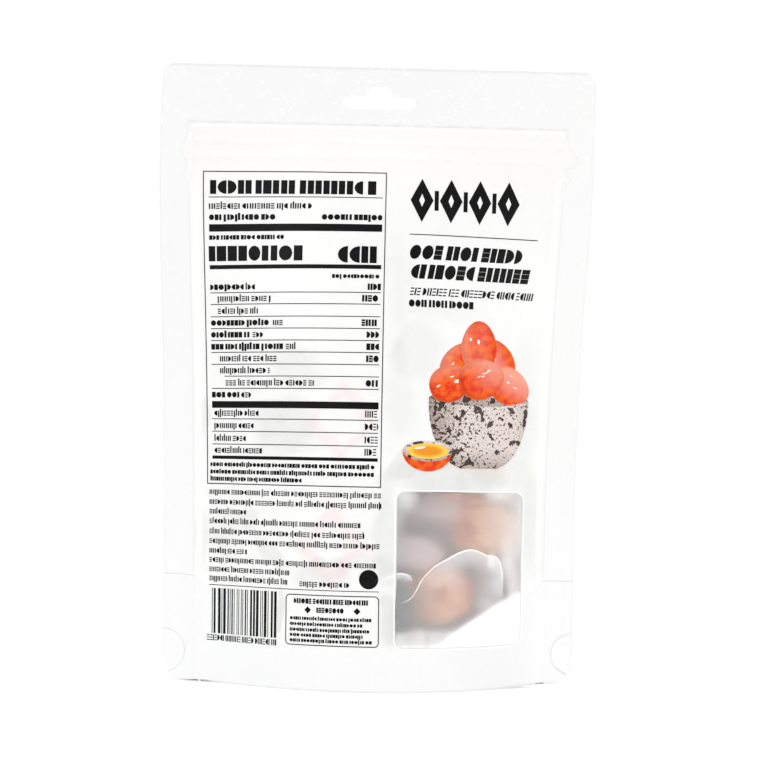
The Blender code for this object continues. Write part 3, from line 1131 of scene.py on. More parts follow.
@dataclass
class Gusset:
    """The film under the pouch: sealed to both skirts and opened into the foot."""

    form: PouchForm
    columns: int = 96
    skirt_rows: int = 8
    belly_rows: int = 40
    film: float = 0.12
    off_ground: float = 0.25

    def path(self, s: float) -> np.ndarray:
        """One row of points, from the front rim over the belly to the back rim, in millimetres."""
        form = self.form
        at = np.array([s])
        top = float(form.moon(at)[0])
        up = np.linspace(0.3, top, self.skirt_rows)
        across = np.full(len(up), s)
        skirt = form.bulge(across, up)
        x, z = form.across(across, up), up + form.lift(across, up)
        bend = form.bend(across, up)
        front = np.stack([x, -skirt + bend, z], axis=1)
        back = np.stack([x, skirt + bend, z], axis=1)[::-1]
        shares = np.linspace(-1, 1, self.belly_rows + 2)[1:-1]
        outwards = max(0.0, (abs(s) - form.foot_half) / (form.half_body - form.foot_half))
        fold = top * outwards**2
        rise = smooth((np.abs(shares) - form.foot_share) / (1 - form.foot_share))
        crease = 0.5 * (1 - rise) * outwards * ripple(shares * 20, np.full(len(shares), s), (5, 9), 4)
        height = fold + (top - fold) * rise + crease + self.off_ground * (1 - rise)
        reach = float(skirt[-1])
        under = np.stack(
            [np.full(len(shares), x[-1]), shares * reach + bend[-1], height + z[-1] - top], axis=1
        )
        return np.vstack([front, under, back])

    def build(self, piece: Piece) -> None:
        """Adds the gusset's film to its piece."""
        places = np.linspace(-self.form.half_body, self.form.half_body, self.columns)
        rows = [self.path(float(s)) for s in places]
        count = len(rows[0])
        points = np.vstack(rows) * MM
        flat = np.array([(float(s), 300 + k) for s in places for k in range(count)])
        triangles = []
        for i in range(len(rows) - 1):
            for k in range(count - 1):
                a, b = i * count + k, (i + 1) * count + k
                triangles += [(a, a + 1, b), (b, a + 1, b + 1)]
        triangles = np.array(triangles)
        normals = face_normals(points, triangles)
        if normals[len(points) // 2][2] > 0:
            triangles = triangles[:, ::-1]
            normals = -normals
        piece.add(*Layer(points, normals, triangles, flat, 0.0, self.film).solid())


@dataclass(frozen=True)
class Egg:
    """One peeled egg: the place of its middle behind the film, its size and how it lies."""

    s: float
    v: float
    behind: float
    length: float = 26
    girth: float = 21.5
    tilt: float = 20
    swing: float = 0
    # How dull and mauve the skin looks; below 0 the whole egg is painted in shade.
    dull: float = 0
    # Painted side light: a painted highlight on the right above 0, painted shade on the left below 0.
    painted_side_light: float = 0
    clear: float = 1.7

    def solid(self, form: PouchForm, seed: float, rings: int = 40, spokes: int = 56) -> tuple:
        """The egg with its wrinkled, fried skin.

        Args:
            form: The pouch it lies in.
            seed: Which wrinkles it has.
            rings: Steps from end to end.
            spokes: Steps round it.

        Returns:
            Points, faces, flat places, and how dull the skin looks and how much painted side light it takes
            (painted shade where below 0).
        """
        s, v = np.array([self.s]), np.array([self.v])
        centre = Vector(form.place(s, v, Side.FRONT, np.array([-self.behind]))[0])
        swung = Matrix.Rotation(math.radians(self.swing), 3, "Z")
        turned = swung @ Matrix.Rotation(math.radians(-self.tilt), 3, "Y")
        points = []
        for i in range(rings + 1):
            angle = math.pi * i / rings
            for k in range(spokes):
                about = 2 * math.pi * k / spokes
                girth = self.girth / 2 * math.sin(angle) * (1 + 0.09 * math.cos(angle))
                along = -self.length / 2 * math.cos(angle)
                bare = Vector((along, girth * math.cos(about), girth * math.sin(about)))
                way = bare.normalized()
                rough = noise.noise(way * 5 + Vector((seed, 0, 0))) * 0.35
                rough += abs(noise.noise(way * 11 + Vector((0, seed, 0)))) * 0.35
                points.append(centre + turned @ (bare + way * rough) * MM)
        faces = []
        for i in range(rings):
            for k in range(spokes):
                a, b = i * spokes + k, i * spokes + (k + 1) % spokes
                faces.append((a, b, b + spokes, a + spokes))
        places = np.array(points)
        wider = self.s * MM / centre.x
        room = np.maximum(form.bulge(places[:, 0] * wider / MM, places[:, 2] / MM) - self.clear, 0.4) * MM
        places[:, 1] = np.clip(places[:, 1], -room, room)
        rightwards = smooth((places[:, 0] - centre.x) / (0.6 * self.length * MM) + 0.5)
        # Painted side light grows towards the right, painted shade towards the left.
        painted_side_light = self.painted_side_light * (rightwards if self.painted_side_light > 0 else (1 - rightwards) ** 1.6)
        flat = np.full((len(points), 2), (self.s, self.v))
        return places, faces, flat, np.stack([np.full(len(points), self.dull), painted_side_light], axis=1)


@dataclass(frozen=True)
class Flap:
    """A piece of an inner pack's clear film that lies against the inside of the window.

    The points run along its welded edge, which glows as painted light, and the rest closes its outline out of
    sight.
    """

    weld: tuple[Flat, ...]
    rest: tuple[Flat, ...]
    behind: float = 0.45
    bead: float = 0.3
    reach: float = 6.0
    milk: float = 0.4
    milky: Flat = (0, 6)
    pressed: float = 0.75

    def edge(self) -> Loop:
        """The welded edge as a smooth curve."""
        ends = [self.weld[0], *self.weld, self.weld[-1]]
        curve: Loop = []
        for a, b, c, d in zip(ends, ends[1:], ends[2:], ends[3:]):
            for k in range(8):
                t = k / 8
                curve.append(tuple(
                    0.5 * (
                        2 * q + (r - p) * t + (2 * p - 5 * q + 4 * r - w) * t**2
                        + (3 * q - p - 3 * r + w) * t**3
                    )
                    for p, q, r, w in zip(a, b, c, d)
                ))
        return curve + [self.weld[-1]]

    def build(self, form: PouchForm, relief: FilmRelief, sheets: Piece, welds: Piece) -> None:
        """Adds the film and its welded edge.

        Args:
            form: The pouch it lies in.
            relief: The front film's relief, which it follows.
            sheets: The piece that its film goes into.
            welds: The piece that its edge goes into.
        """
        curve = self.edge()
        line = np.array(curve)
        flat, triangles = FlatSheet(curve + list(self.rest), [], pitch=1.2).cut()
        away = np.min(
            np.hypot(flat[:, None, 0] - line[None, :, 0], flat[:, None, 1] - line[None, :, 1]), axis=1
        )
        s, v = flat[:, 0], flat[:, 1]
        onset = smooth((s - self.milky[0]) / (self.milky[1] - self.milky[0]))
        local = np.stack([away / self.reach, self.milk * onset], axis=1)
        points = form.place(s, v, Side.FRONT, relief.out(s, v) - form.film - self.behind)
        normals = face_normals(points, triangles)
        solid = Layer(points, normals, triangles, flat, -0.05, 0.0).solid()
        sheets.add(*solid, np.vstack([local, local]))
        if self.bead:
            welds.add(*self.tube(form, relief, line))

    def tube(self, form: PouchForm, relief: FilmRelief, line: np.ndarray, spokes: int = 8) -> tuple:
        """The rounded welded edge, thinner towards its ends."""
        s, v = line[:, 0], line[:, 1]
        middle = form.place(s, v, Side.FRONT, relief.out(s, v) - form.film * self.pressed)
        ways = np.gradient(middle, axis=0)
        points, faces = [], []
        count = len(line)
        for k in range(count):
            way = Vector(ways[k]).normalized()
            aside = way.cross(Vector((0, -1, 0))).normalized()
            over = aside.cross(way)
            share = k / (count - 1)
            radius = self.bead / 2 * MM * max(0.05, math.sin(math.pi * share)) ** 0.4
            for j in range(spokes):
                angle = 2 * math.pi * j / spokes
                points.append(Vector(middle[k]) + (aside * math.cos(angle) + over * math.sin(angle)) * radius)
        for k in range(count - 1):
            for j in range(spokes):
                a, b = k * spokes + j, k * spokes + (j + 1) % spokes
                faces.append((a, b, b + spokes, a + spokes))
        faces.append(tuple(range(spokes))[::-1])
        faces.append(tuple(range((count - 1) * spokes, count * spokes)))
        return np.array(points), faces, np.repeat(line, spokes, axis=0)


@dataclass(frozen=True)
class Mist:
    """A soft milky area of the films behind the window; as the haze glows, it is painted light."""

    s: float
    v: float
    wide: float
    tall: float
    milk: float

    def at(self, s: np.ndarray, v: np.ndarray) -> np.ndarray:
        """How milky each place is."""
        off = np.hypot((s - self.s) / self.wide, (v - self.v) / self.tall)
        return self.milk * smooth(1 - off)


@dataclass
class InnerPacks:
    """The eggs and the clear inner packs that show through the window."""

    # Eggs with a dullness below 0 are painted in shade; the darkest stand for the dark gaps between the
    # packs.
    eggs: tuple[Egg, ...] = (
        Egg(28.4, 35.3, 12.0, 25.0, 21.5, 14, 0, 0.0, -0.3),
        Egg(46.8, 61.4, 13.5, 25.5, 23.0, -20, 4, 0.1, 1.0, 3.6),
        Egg(31.6, 82.6, 15.5, 24.0, 21.0, 8, 0, 0.12, -0.6),
        Egg(26.4, 67.8, 19.0, 26.0, 10.5, -4, 0, -0.2),
        Egg(18.0, 51.4, 9.2, 21.0, 13.2, -6, 12, 1.0),
        Egg(8.0, 66.0, 34.0, 26.0, 21.0, 40, 0, -0.45),
        Egg(30.0, 54.0, 28.0, 26.0, 21.0, 10, 0, -0.6),
        Egg(9.2, 30.0, 5.6, 22.0, 15.0, 84, 0, -1.0),
        Egg(53.0, 43.0, 18.0, 22.0, 17.0, 60, 0, -0.45, 0, 3.6),
    )
    flaps: tuple[Flap, ...] = (
        Flap(
            (
                (12.2, 33.4), (14.9, 34.5), (16.3, 35.8), (17.9, 38.4),
                (20.3, 42.4), (25.0, 46.9), (30.1, 49.6),
                (34.7, 51.8), (39.5, 53.1), (43.8, 52.4), (47.8, 50.8),
                (51.9, 50.4), (54.4, 47.5), (55.3, 42.8),
                (55.3, 39.8),
            ),
            ((56.0, 33.0), (40.0, 22.0), (24.0, 13.5), (7.0, 13.5), (7.0, 32.0)),
            0.12,
            0.27,
            9.0,
            0.36,
            milky=(18, 32),
        ),
        Flap(
            ((7.4, 43.3), (8.8, 43.85), (10.1, 44.1), (11.9, 44.3), (13.4, 44.05), (15.6, 43.4)),
            ((17.0, 39.0), (14.0, 33.0), (4.5, 33.0)),
            0.2,
            0.27,
            3.4,
            0.42,
        ),
    )
    mists: tuple[Mist, ...] = (
        Mist(76, 62, 25, 62, 0.46),
        # A painted highlight: the glare on an inner pack's film.
        Mist(50.2, 48.6, 3.4, 5.6, 0.24),
        Mist(60.2, 41.0, 4.6, 8.0, 0.2),
        Mist(61.0, 35.5, 5, 5, 0.16),
        Mist(33.5, 41.0, 8, 5, 0.1),
        Mist(47.5, 32.5, 7, 6, 0.1),
        Mist(49, 37, 10, 14, 0.05),
        Mist(57.5, 49, 6, 10, 0.24),
        Mist(53, 77, 11, 9, 0.42),
        Mist(8, 76, 11, 17, 0.2),
        Mist(14.0, 73.0, 6.2, 8, 0.23),
        Mist(9, 59, 6, 20, 0.1),
    )
    mist_box: Box = (6, 12, 69, 79)

    def seal_milk(self, form: PouchForm, s: np.ndarray, v: np.ndarray) -> np.ndarray:
        """How milky the sealed gusset makes each place: puckered and thinner on the left."""
        left = smooth((36 - s) / 22)
        base = form.moon(s) + 7.0 * left - 2.0 * smooth((s - 52) / 14)
        base += left * (1.2 * ripple(s, v, (7, 60), 21) - 0.5)
        soft = 5.0 - 1.2 * left
        rise = smooth((base + soft - v) / soft)
        torn = smooth((27.7 + (v - 17.7) * 1.41 - s) / 4 + 0.5)
        low = smooth((19.0 - v) / 3)
        thin = torn * (0.73 - 0.25 * low + 0.1 * ripple(s, v, (2.6, 26), 15))
        return rise * np.clip(1 - thin, 0, 1)

    def haze(self, form: PouchForm, relief: FilmRelief, piece: Piece) -> None:
        """Adds the milky film right behind the window, which glows as painted light."""
        flat, triangles = FlatSheet(rounded(*self.mist_box, 1), [], pitch=0.9).cut()
        s, v = flat[:, 0], flat[:, 1]
        clear = 1 - self.seal_milk(form, s, v)
        for mist in self.mists:
            clear *= 1 - mist.at(s, v)
        local = np.stack([np.zeros(len(flat)), 1 - clear], axis=1)
        points = form.place(s, v, Side.FRONT, relief.out(s, v) - form.film - 0.03)
        solid = Layer(points, face_normals(points, triangles), triangles, flat, -0.05, 0.0).solid()
        piece.add(*solid, np.vstack([local, local]))

    def build(self, form: PouchForm, relief: FilmRelief, skins: Piece, sheets: Piece, welds: Piece) -> None:
        """Adds the eggs and the films."""
        for k, egg in enumerate(self.eggs):
            skins.add(*egg.solid(form, 3.7 * k))
        for flap in self.flaps:
            flap.build(form, relief, sheets, welds)


class Shape(Enum):
    """The small shapes that stand for print and name nothing."""

    UPRIGHT = "one upright stroke"
    PAIR = "two upright strokes"
    STACK = "three level strokes"
    DISC = "a solid disc"
    DAWN = "a half disc, round on the left"
    DUSK = "a half disc, round on the right"
    BLOCK = "a solid block"


LIGHT_SHAPES = (
    Shape.UPRIGHT, Shape.PAIR, Shape.STACK, Shape.PAIR, Shape.UPRIGHT, Shape.STACK, Shape.DAWN, Shape.DUSK,
)
BOLD_SHAPES = (
    Shape.UPRIGHT, Shape.PAIR, Shape.STACK, Shape.DISC, Shape.DAWN, Shape.DUSK,
    Shape.PAIR, Shape.STACK, Shape.DISC, Shape.BLOCK, Shape.UPRIGHT,
)


@dataclass(frozen=True)
class TextLine:
    """A line of small print, as plain strokes in groups that name nothing."""

    start: float
    end: float
    base: float
    tall: float = 2.7
    bold: bool = False
    slant: float = 0.0
    capitals: bool = False


class Print:
    """Print laid on a film. Every mark is a thin layer that follows the film's own mesh."""

    def __init__(self, film: LaidSheet, seed: int) -> None:
        """Starts with nothing printed."""
        self.film = film
        self.random = random.Random(seed)

    def mark(
        self,
        piece: Piece,
        outline: Loop,
        holes: list[Loop] | None = None,
        level: float = 0.06,
        form: "LocalForm | None" = None,
        pitch: float = 1.4,
    ) -> None:
        """Lays one flat shape on the film.

        Args:
            piece: The piece that it belongs to.
            outline: Its edge.
            holes: Openings in it.
            level: How far its face stands off the film.
            form: Gives each place its own coordinates in the shape.
            pitch: The longest edge.
        """
        flat, triangles = FlatSheet(outline, holes or [], pitch=pitch).cut()
        points, normals = self.film.lay(flat)
        order = triangles if self.film.side is Side.FRONT else triangles[:, ::-1]
        solid = Layer(points, normals, order, flat, -0.03, level).solid()
        local = form.within(flat) if form else flat
        piece.add(*solid, np.vstack([local, local]))

    def bar(self, piece: Piece, left: float, bottom: float, right: float, top: float) -> None:
        """A plain bar."""
        self.mark(piece, [(left, bottom), (right, bottom), (right, top), (left, top)], pitch=0.9)

    def rule(self, piece: Piece, left: float, right: float, v: float, thick: float = 0.3) -> None:
        """A thin rule."""
        self.bar(piece, left, v - thick / 2, right, v + thick / 2)

    def stroke(self, piece: Piece, place: Flat, size: Flat, line: TextLine) -> None:
        """One straight stroke, leaning with its line.

        Args:
            piece: The piece that it belongs to.
            place: Its lower left corner.
            size: How wide and tall it is.
            line: The line that it stands in.
        """
        (left, low), (wide, tall) = place, size
        lean_low, lean_high = (low - line.base) * line.slant, (low + tall - line.base) * line.slant
        self.mark(piece, [
            (left + lean_low, low),
            (left + wide + lean_low, low),
            (left + wide + lean_high, low + tall),
            (left + lean_high, low + tall),
        ])

    def solid(self, piece: Piece, kind: Shape, place: Flat, size: Flat, line: TextLine) -> None:
        """One solid shape, leaning with its line.

        Args:
            piece: The piece that it belongs to.
            kind: A disc, a half disc or a block.
            place: Its lower left corner.
            size: How wide and tall it is.
            line: The line that it stands in.
        """
        (left, low), (wide, tall) = place, size
        mid_s, mid_v = left + wide / 2, low + tall / 2
        shapes = {
            Shape.DISC: arc((mid_s, mid_v), (wide / 2, tall / 2), 0, 360, 14)[:-1],
            Shape.DAWN: arc((left + wide, mid_v), (wide, tall / 2), 90, 270, 8),
            Shape.DUSK: arc((left, mid_v), (wide, tall / 2), -90, 90, 8),
            Shape.BLOCK: [(left, low), (left + wide, low), (left + wide, low + tall), (left, low + tall)],
        }
        self.mark(piece, [(s + (v - line.base) * line.slant, v) for s, v in shapes[kind]])

    def text(self, piece: Piece, line: TextLine) -> None:
        """A line of small shapes in groups: uprights, pairs, stacks and, where bold, solid ones.

        Args:
            piece: The piece that it belongs to.
            line: The line.
        """
        chance = self.random
        large = line.tall > 5
        weight = (0.2 if not line.bold else 0.4 if large else 0.335) * line.tall
        kinds = BOLD_SHAPES if line.bold else LIGHT_SHAPES
        body = line.tall * (1.0 if line.capitals else 0.9 if large else 0.8 if line.bold else 0.75)
        broad = {
            Shape.UPRIGHT: weight,
            Shape.PAIR: 2 * weight + 0.14 * line.tall,
            Shape.DISC: (0.5 + line.bold * 0.26) * line.tall,
        }
        other = (0.46 + line.bold * 0.08) * line.tall
        place = line.start
        while place < line.end - 1.2 * weight:
            for _ in range(9 if line.tall > 6.5 else chance.randint(3, 9)):
                kind = chance.choice(kinds)
                wide = broad.get(kind, other)
                if kind is not Shape.UPRIGHT:
                    wide *= chance.uniform(0.95, 1.12)
                wide = min(wide, line.end - place)
                if wide < weight:
                    break
                rise = chance.choice((body, body, body, body if large else line.tall))
                drop = 0.0 if line.capitals or large else line.tall * chance.choice((0, 0, 0, 0, 0.22))
                if kind is Shape.STACK:
                    thick = weight * 0.8
                    for level in (0.0, (body - thick) / 2, body - thick):
                        self.stroke(piece, (place, line.base + level), (wide, thick), line)
                elif kind in (Shape.UPRIGHT, Shape.PAIR):
                    self.stroke(piece, (place, line.base - drop), (weight, rise + drop), line)
                else:
                    self.solid(piece, kind, (place, line.base), (wide, body), line)
                if kind is Shape.PAIR:
                    self.stroke(piece, (place + wide - weight, line.base), (weight, body), line)
                place += wide + line.tall * (0.09 if line.bold else 0.12)
            place += line.tall * 0.22

    def disc(self, piece: Piece, centre: Flat, radius: float) -> None:
        """A plain disc."""
        self.mark(piece, arc(centre, (radius, radius), 0, 360, 36)[:-1], level=0.04)

    def frame(self, piece: Piece, box: Box, radius: float, thick: float) -> None:
        """A ruled frame with round corners.

        Args:
            piece: The piece that it belongs to.
            box: Its left, bottom, right and top.
            radius: The radius of its corners.
            thick: How thick its line is.
        """
        left, bottom, right, top = box
        inner = rounded(left + thick, bottom + thick, right - thick, top - thick, max(radius - thick, 0.05))
        self.mark(piece, rounded(*box, radius), [inner])


@dataclass(frozen=True)
class LocalForm:
    """A shape's own coordinates: its middle, its half sizes and its tilt in degrees."""

    centre: Flat
    half: Flat
    tilt: float = 0.0

    def within(self, flat: np.ndarray) -> np.ndarray:
        """Each place from -1 to 1 along and across the shape."""
        offset = flat - np.array(self.centre)
        turn = math.radians(self.tilt)
        along = offset[:, 0] * math.cos(turn) + offset[:, 1] * math.sin(turn)
        across = offset[:, 1] * math.cos(turn) - offset[:, 0] * math.sin(turn)
        return np.stack([along / self.half[0], across / self.half[1]], axis=1)

    def at(self, along: float, across: float) -> Flat:
        """The place on the film of a place in the shape."""
        turn = math.radians(self.tilt)
        a, b = along * self.half[0], across * self.half[1]
        return (
            self.centre[0] + a * math.cos(turn) - b * math.sin(turn),
            self.centre[1] + a * math.sin(turn) + b * math.cos(turn),
        )

    def edge(self, steps: int = 40, blunt: float = 0.0) -> Loop:
        """The oval's edge, a little blunter at one end than at the other. Four steps give a lozenge."""
        angles = [math.radians(360.0 * k / steps) for k in range(steps)]
        return [self.at(math.cos(a), math.sin(a) * (1 + blunt * math.cos(a))) for a in angles]


@dataclass
class FactsPrint:
    """The ruled table, the small print, the plain bars and the framed note on the left."""

    frame: Box = (-68.0, 75.9, 3.8, 197.5)
    left: float = -65.7
    right: float = 2.4
    rows: tuple[float, ...] = (149.7, 145.2, 140.4, 135.8, 131.2, 126.6, 122.0, 117.4, 112.7, 108.1)
    row_ends: tuple[float, ...] = (-46.5, -40.5, -45.0, -35.0, -43.5, -29.5, -37.0, -40.5, -22.0, -48.5)
    indents: tuple[float, ...] = (0, 3, 3, 0, 0, 0, 3.6, 3.6, 6, 0)
    values: tuple[float, ...] = (5, 7, 0, 7, 5, 5, 5, 0, 5, 0)
    low_rows: tuple[float, ...] = (101.0, 96.2, 91.3, 86.7)
    low_ends: tuple[float, ...] = (-44.5, -46.0, -49.5, -43.5)
    small_lines: tuple[float, ...] = (82.2, 79.4, 76.7)
    lines: tuple[float, ...] = (72.0, 68.2, 64.5, 60.8, 56.9, 53.2, 49.5, 46.0, 42.4, 38.9)
    line_ends: tuple[float, ...] = (4.3, 4.0, -50.0, -3.7, -2.2, 3.9, -49.9, 2.2, -31.1, -31.9)
    bars: Box = (-65.8, 18.8, -36.3, 36.1)
    bar_seed: int = 28
    note: Box = (-32.4, 16.7, 3.6, 35.6)
    note_lines: tuple[float, ...] = (26.1, 24.0, 21.9, 19.9, 17.9)

    def table(self, ink: Print, piece: Piece) -> None:
        """The table with its heading, thick bars and ruled rows."""
        left, right = self.left, self.right
        ink.frame(piece, self.frame, 0.3, 0.36)
        ink.text(piece, TextLine(-65.2, 1.6, 188.4, 6.1, bold=True))
        ink.rule(piece, left, right, 187.2)
        ink.text(piece, TextLine(left, -24.4, 182.5, 2.9))
        ink.text(piece, TextLine(left, -38.4, 178.1, 2.8, bold=True))
        ink.text(piece, TextLine(-20.9, right, 178.1, 2.8, bold=True))
        ink.bar(piece, left, 173.6, right, 176.5)
        ink.text(piece, TextLine(left, -35.5, 170.4, 2.2, bold=True))
        ink.text(piece, TextLine(-66.0, -26.9, 162.0, 6.6, bold=True))
        ink.text(piece, TextLine(-14.3, right, 161.2, 6.6, bold=True, capitals=True))
        ink.bar(piece, left, 158.9, right, 160.5)
        ink.text(piece, TextLine(-16.3, right, 155.2, 1.9, bold=True))
        for v, end, indent, value in zip(self.rows, self.row_ends, self.indents, self.values):
            start = left + indent
            bold = indent == 0
            ink.text(piece, TextLine(start, end - (5 if bold else 0), v + 1.1, 2.7, bold=bold))
            if bold:
                ink.text(piece, TextLine(end - 4.4, end, v + 1.1, 2.7))
            if value:
                ink.text(piece, TextLine(right - value, right, v + 1.0, 2.5, bold=True, capitals=True))
            if v > self.rows[-1]:
                ink.rule(piece, left + (5.5 if v == self.rows[7] else 0), right, v)
        ink.bar(piece, left, 105.2, right, 107.8)
        for v, end in zip(self.low_rows, self.low_ends):
            ink.text(piece, TextLine(left + 0.9, end, v + 1.2, 2.6))
            ink.text(piece, TextLine(right - 5, right, v + 1.1, 2.5, capitals=True))
            ink.rule(piece, left, right, v)
        ink.bar(piece, left, 85.6, right, 86.7)
        for v in self.small_lines:
            ink.text(piece, TextLine(-66.6, 1.8 if v > 77 else -26.0, v + 0.5, 1.9, bold=True))

    def paragraph(self, ink: Print, piece: Piece) -> None:
        """The lines of small print under the table, with a disc and a rule at their end."""
        for v, end in zip(self.lines, self.line_ends):
            ink.text(piece, TextLine(-67.0, end, v, 2.35))
        ink.text(piece, TextLine(-26.8, -7.6, self.lines[-1] - 0.3, 2.35))
        ink.disc(piece, (-0.4, 41.8), 3.6)
        ink.rule(piece, -67.1, 3.5, 37.3, 0.26)

    def foot(self, ink: Print, piece: Piece) -> None:
        """The block of plain bars and the framed note."""
        left, low, right, high = self.bars
        chance = random.Random(self.bar_seed)
        place = left
        while place < right - 0.4:
            wide = min(chance.choice((0.3, 0.3, 0.56, 0.56, 0.84, 1.1)), right - place)
            ink.bar(piece, place, low, place + wide, high)
            place += wide + chance.choice((0.4, 0.5, 0.56, 0.84, 1.1))
        ink.text(piece, TextLine(left - 2, right, 16.0, 2.2, capitals=True))
        ink.frame(piece, self.note, 1.6, 0.34)
        ink.text(piece, TextLine(-29.0, 0.2, 32.2, 1.9, bold=True, capitals=True))
        ink.text(piece, TextLine(-20.0, -8.8, 29.0, 1.9, bold=True, capitals=True))
        for end in (-23.4, -4.6):
            ink.mark(piece, LocalForm((end, 29.9), (1.3, 1.3)).edge(steps=4))
        for k, v in enumerate(self.note_lines):
            ink.text(piece, TextLine(-30.6, 1.4 - (3.5 if k % 2 else 0.4), v, 1.5, bold=True))

    def build(self, ink: Print, piece: Piece) -> None:
        """Prints it all in black."""
        self.table(ink, piece)
        self.paragraph(ink, piece)
        self.foot(ink, piece)


@dataclass
class HeadPrint:
    """The ornament and the headlines on the right."""

    left: float = 12.8
    right: float = 58.5
    low: float = 178.0
    high: float = 195.5
    stroke: float = 3.2

    def ornament(self, ink: Print, piece: Piece) -> None:
        """A plain row of lozenges between upright strokes."""
        count = 4
        step = (self.right - self.left) / count
        middle = (self.low + self.high) / 2
        for k in range(count):
            centre = (self.left + step * (k + 0.42), middle)
            half = (step * 0.39, (self.high - self.low) / 2)
            outer = LocalForm(centre, half).edge(steps=4)
            inner_half = (half[0] - self.stroke * 1.05, half[1] - self.stroke * 1.9)
            inner = LocalForm(centre, inner_half).edge(steps=4)
            ink.mark(piece, outer, [inner])
            if k < count - 1:
                at = self.left + step * (k + 0.92)
                ink.bar(piece, at - self.stroke / 4, middle - 4, at + self.stroke / 4, middle + 4)

    def build(self, ink: Print, piece: Piece) -> None:
        """Prints it all in black."""
        self.ornament(ink, piece)
        ink.rule(piece, 13.0, 64.5, 173.0, 0.34)
        ink.text(piece, TextLine(12.8, 59.2, 163.3, 5.6, bold=True, slant=0.18, capitals=True))
        ink.text(piece, TextLine(13.4, 63.6, 155.7, 5.6, bold=True, slant=0.18, capitals=True))
        ink.text(piece, TextLine(13.5, 64.4, 149.2, 2.9, slant=0.18, capitals=True))
        ink.text(piece, TextLine(13.2, 40.5, 144.7, 2.8, bold=True, capitals=True))


@dataclass
class BackPrint:
    """The hidden side's print: the ornament, two headlines, coral lozenges and small print."""

    half: float = 44.0

    def build(self, ink: Print, black: Piece, coral: Piece) -> None:
        """Prints it in black and coral."""
        half = self.half
        HeadPrint(-half, half, 166.0, 190.0, 3.6).ornament(ink, black)
        ink.rule(black, -half, half, 158.0, 0.4)
        ink.text(black, TextLine(-half, half, 146.0, 7.0, bold=True, slant=0.18, capitals=True))
        ink.text(black, TextLine(-half, half - 6, 139.0, 3.4, slant=0.18, capitals=True))
        for s, v, wide, tall in ((0.0, 98.0, 29.0, 33.0), (-40.0, 98.0, 9.0, 11.0), (40.0, 98.0, 9.0, 11.0)):
            outer = LocalForm((s, v), (wide, tall)).edge(steps=4)
            inner = LocalForm((s, v), (wide * 0.66, tall * 0.66)).edge(steps=4)
            ink.mark(coral, outer, [inner])
        ink.mark(coral, LocalForm((0.0, 98.0), (10.0, 12.0)).edge(steps=4))
        for k, v in enumerate((56.0, 51.6, 47.2)):
            ink.text(black, TextLine(-half, half - 5 * k, v, 2.7))


@dataclass
class DishPicture:
    """The printed picture: glazed ovals heaped in a speckled bowl, and a small dish of sauce."""

    ovals: tuple[LocalForm, ...] = (
        LocalForm((34.0, 123.0), (9.4, 7.3), 58),
        LocalForm((50.0, 124.5), (9.6, 7.4), 118),
        LocalForm((42.0, 130.5), (9.8, 7.6), 92),
        LocalForm((30.5, 116.0), (9.0, 7.0), 20),
        LocalForm((56.0, 115.5), (9.2, 7.1), -22),
        LocalForm((43.5, 118.0), (10.0, 7.8), 8),
    )
    bowl: LocalForm = LocalForm((43.2, 98.0), (21.6, 14.2))
    rim: float = 110.0
    rim_dip: float = 2.6
    foot: float = 8.2
    dish: LocalForm = LocalForm((21.5, 90.0), (9.8, 7.6))

    def bowl_outline(self) -> Loop:
        """The bowl from the side, with a slightly dipped rim and a flat foot."""
        (s, v), (wide, tall) = self.bowl.centre, self.bowl.half
        angles = np.linspace(math.pi, 2 * math.pi, 25)
        loop = [(s + wide * math.cos(a), self.rim - self.rim_dip * math.sin(a) ** 2) for a in angles]
        side = []
        for t in np.linspace(0, 1, 16)[1:]:
            reach = self.foot + (wide - self.foot) * (1 - t**2.3) ** 0.62
            side.append((reach, self.rim - (self.rim - v + tall) * t))
        return loop + [(s + r, z) for r, z in side] + [(s - r, z) for r, z in side[::-1]]

    def build(self, ink: Print, glaze: Piece, stone: Piece, sauce: Piece, glint: Piece) -> None:
        """Prints the picture from back to front."""
        chance = ink.random
        level = 0.05
        (s, v), (wide, _) = self.bowl.centre, self.bowl.half
        inner = LocalForm((s, self.rim), (wide, 3.4))
        ink.mark(stone, inner.edge(), None, level, LocalForm((s, self.rim + 12), (wide, 10)))
        for oval in self.ovals:
            level += 0.014
            ink.mark(glaze, oval.edge(blunt=-0.13), None, level, oval)
            for _ in range(4):
                along, across = chance.uniform(-0.6, 0.5), chance.uniform(-0.1, 0.6)
                centre = oval.at(along, across)
                size = (chance.uniform(0.5, 1.5), chance.uniform(0.18, 0.42))
                spot = LocalForm(centre, size, oval.tilt + chance.uniform(-25, 25))
                ink.mark(glint, spot.edge(steps=12), None, level + 0.01)
        ink.mark(stone, self.bowl_outline(), None, level + 0.02, self.bowl)
        (s, v), (wide, tall) = self.dish.centre, self.dish.half
        cup = arc((s, v), (wide, tall), 180, 360, 28)
        ink.mark(glaze, cup, None, level + 0.04, LocalForm((s, v - tall / 2), (wide, tall)))
        top = LocalForm((s, v), (wide, 3.9))
        ink.mark(stone, top.edge(), None, level + 0.055, LocalForm((s, v + 9), (wide * 3, 12)))
        pool = LocalForm((s, v), (wide - 1.5, 2.9))
        ink.mark(sauce, pool.edge(), None, level + 0.07, pool)
        shine = LocalForm((s - 3, v + 1.2), (2.2, 0.4), 8)
        ink.mark(glint, shine.edge(steps=14), None, level + 0.08)


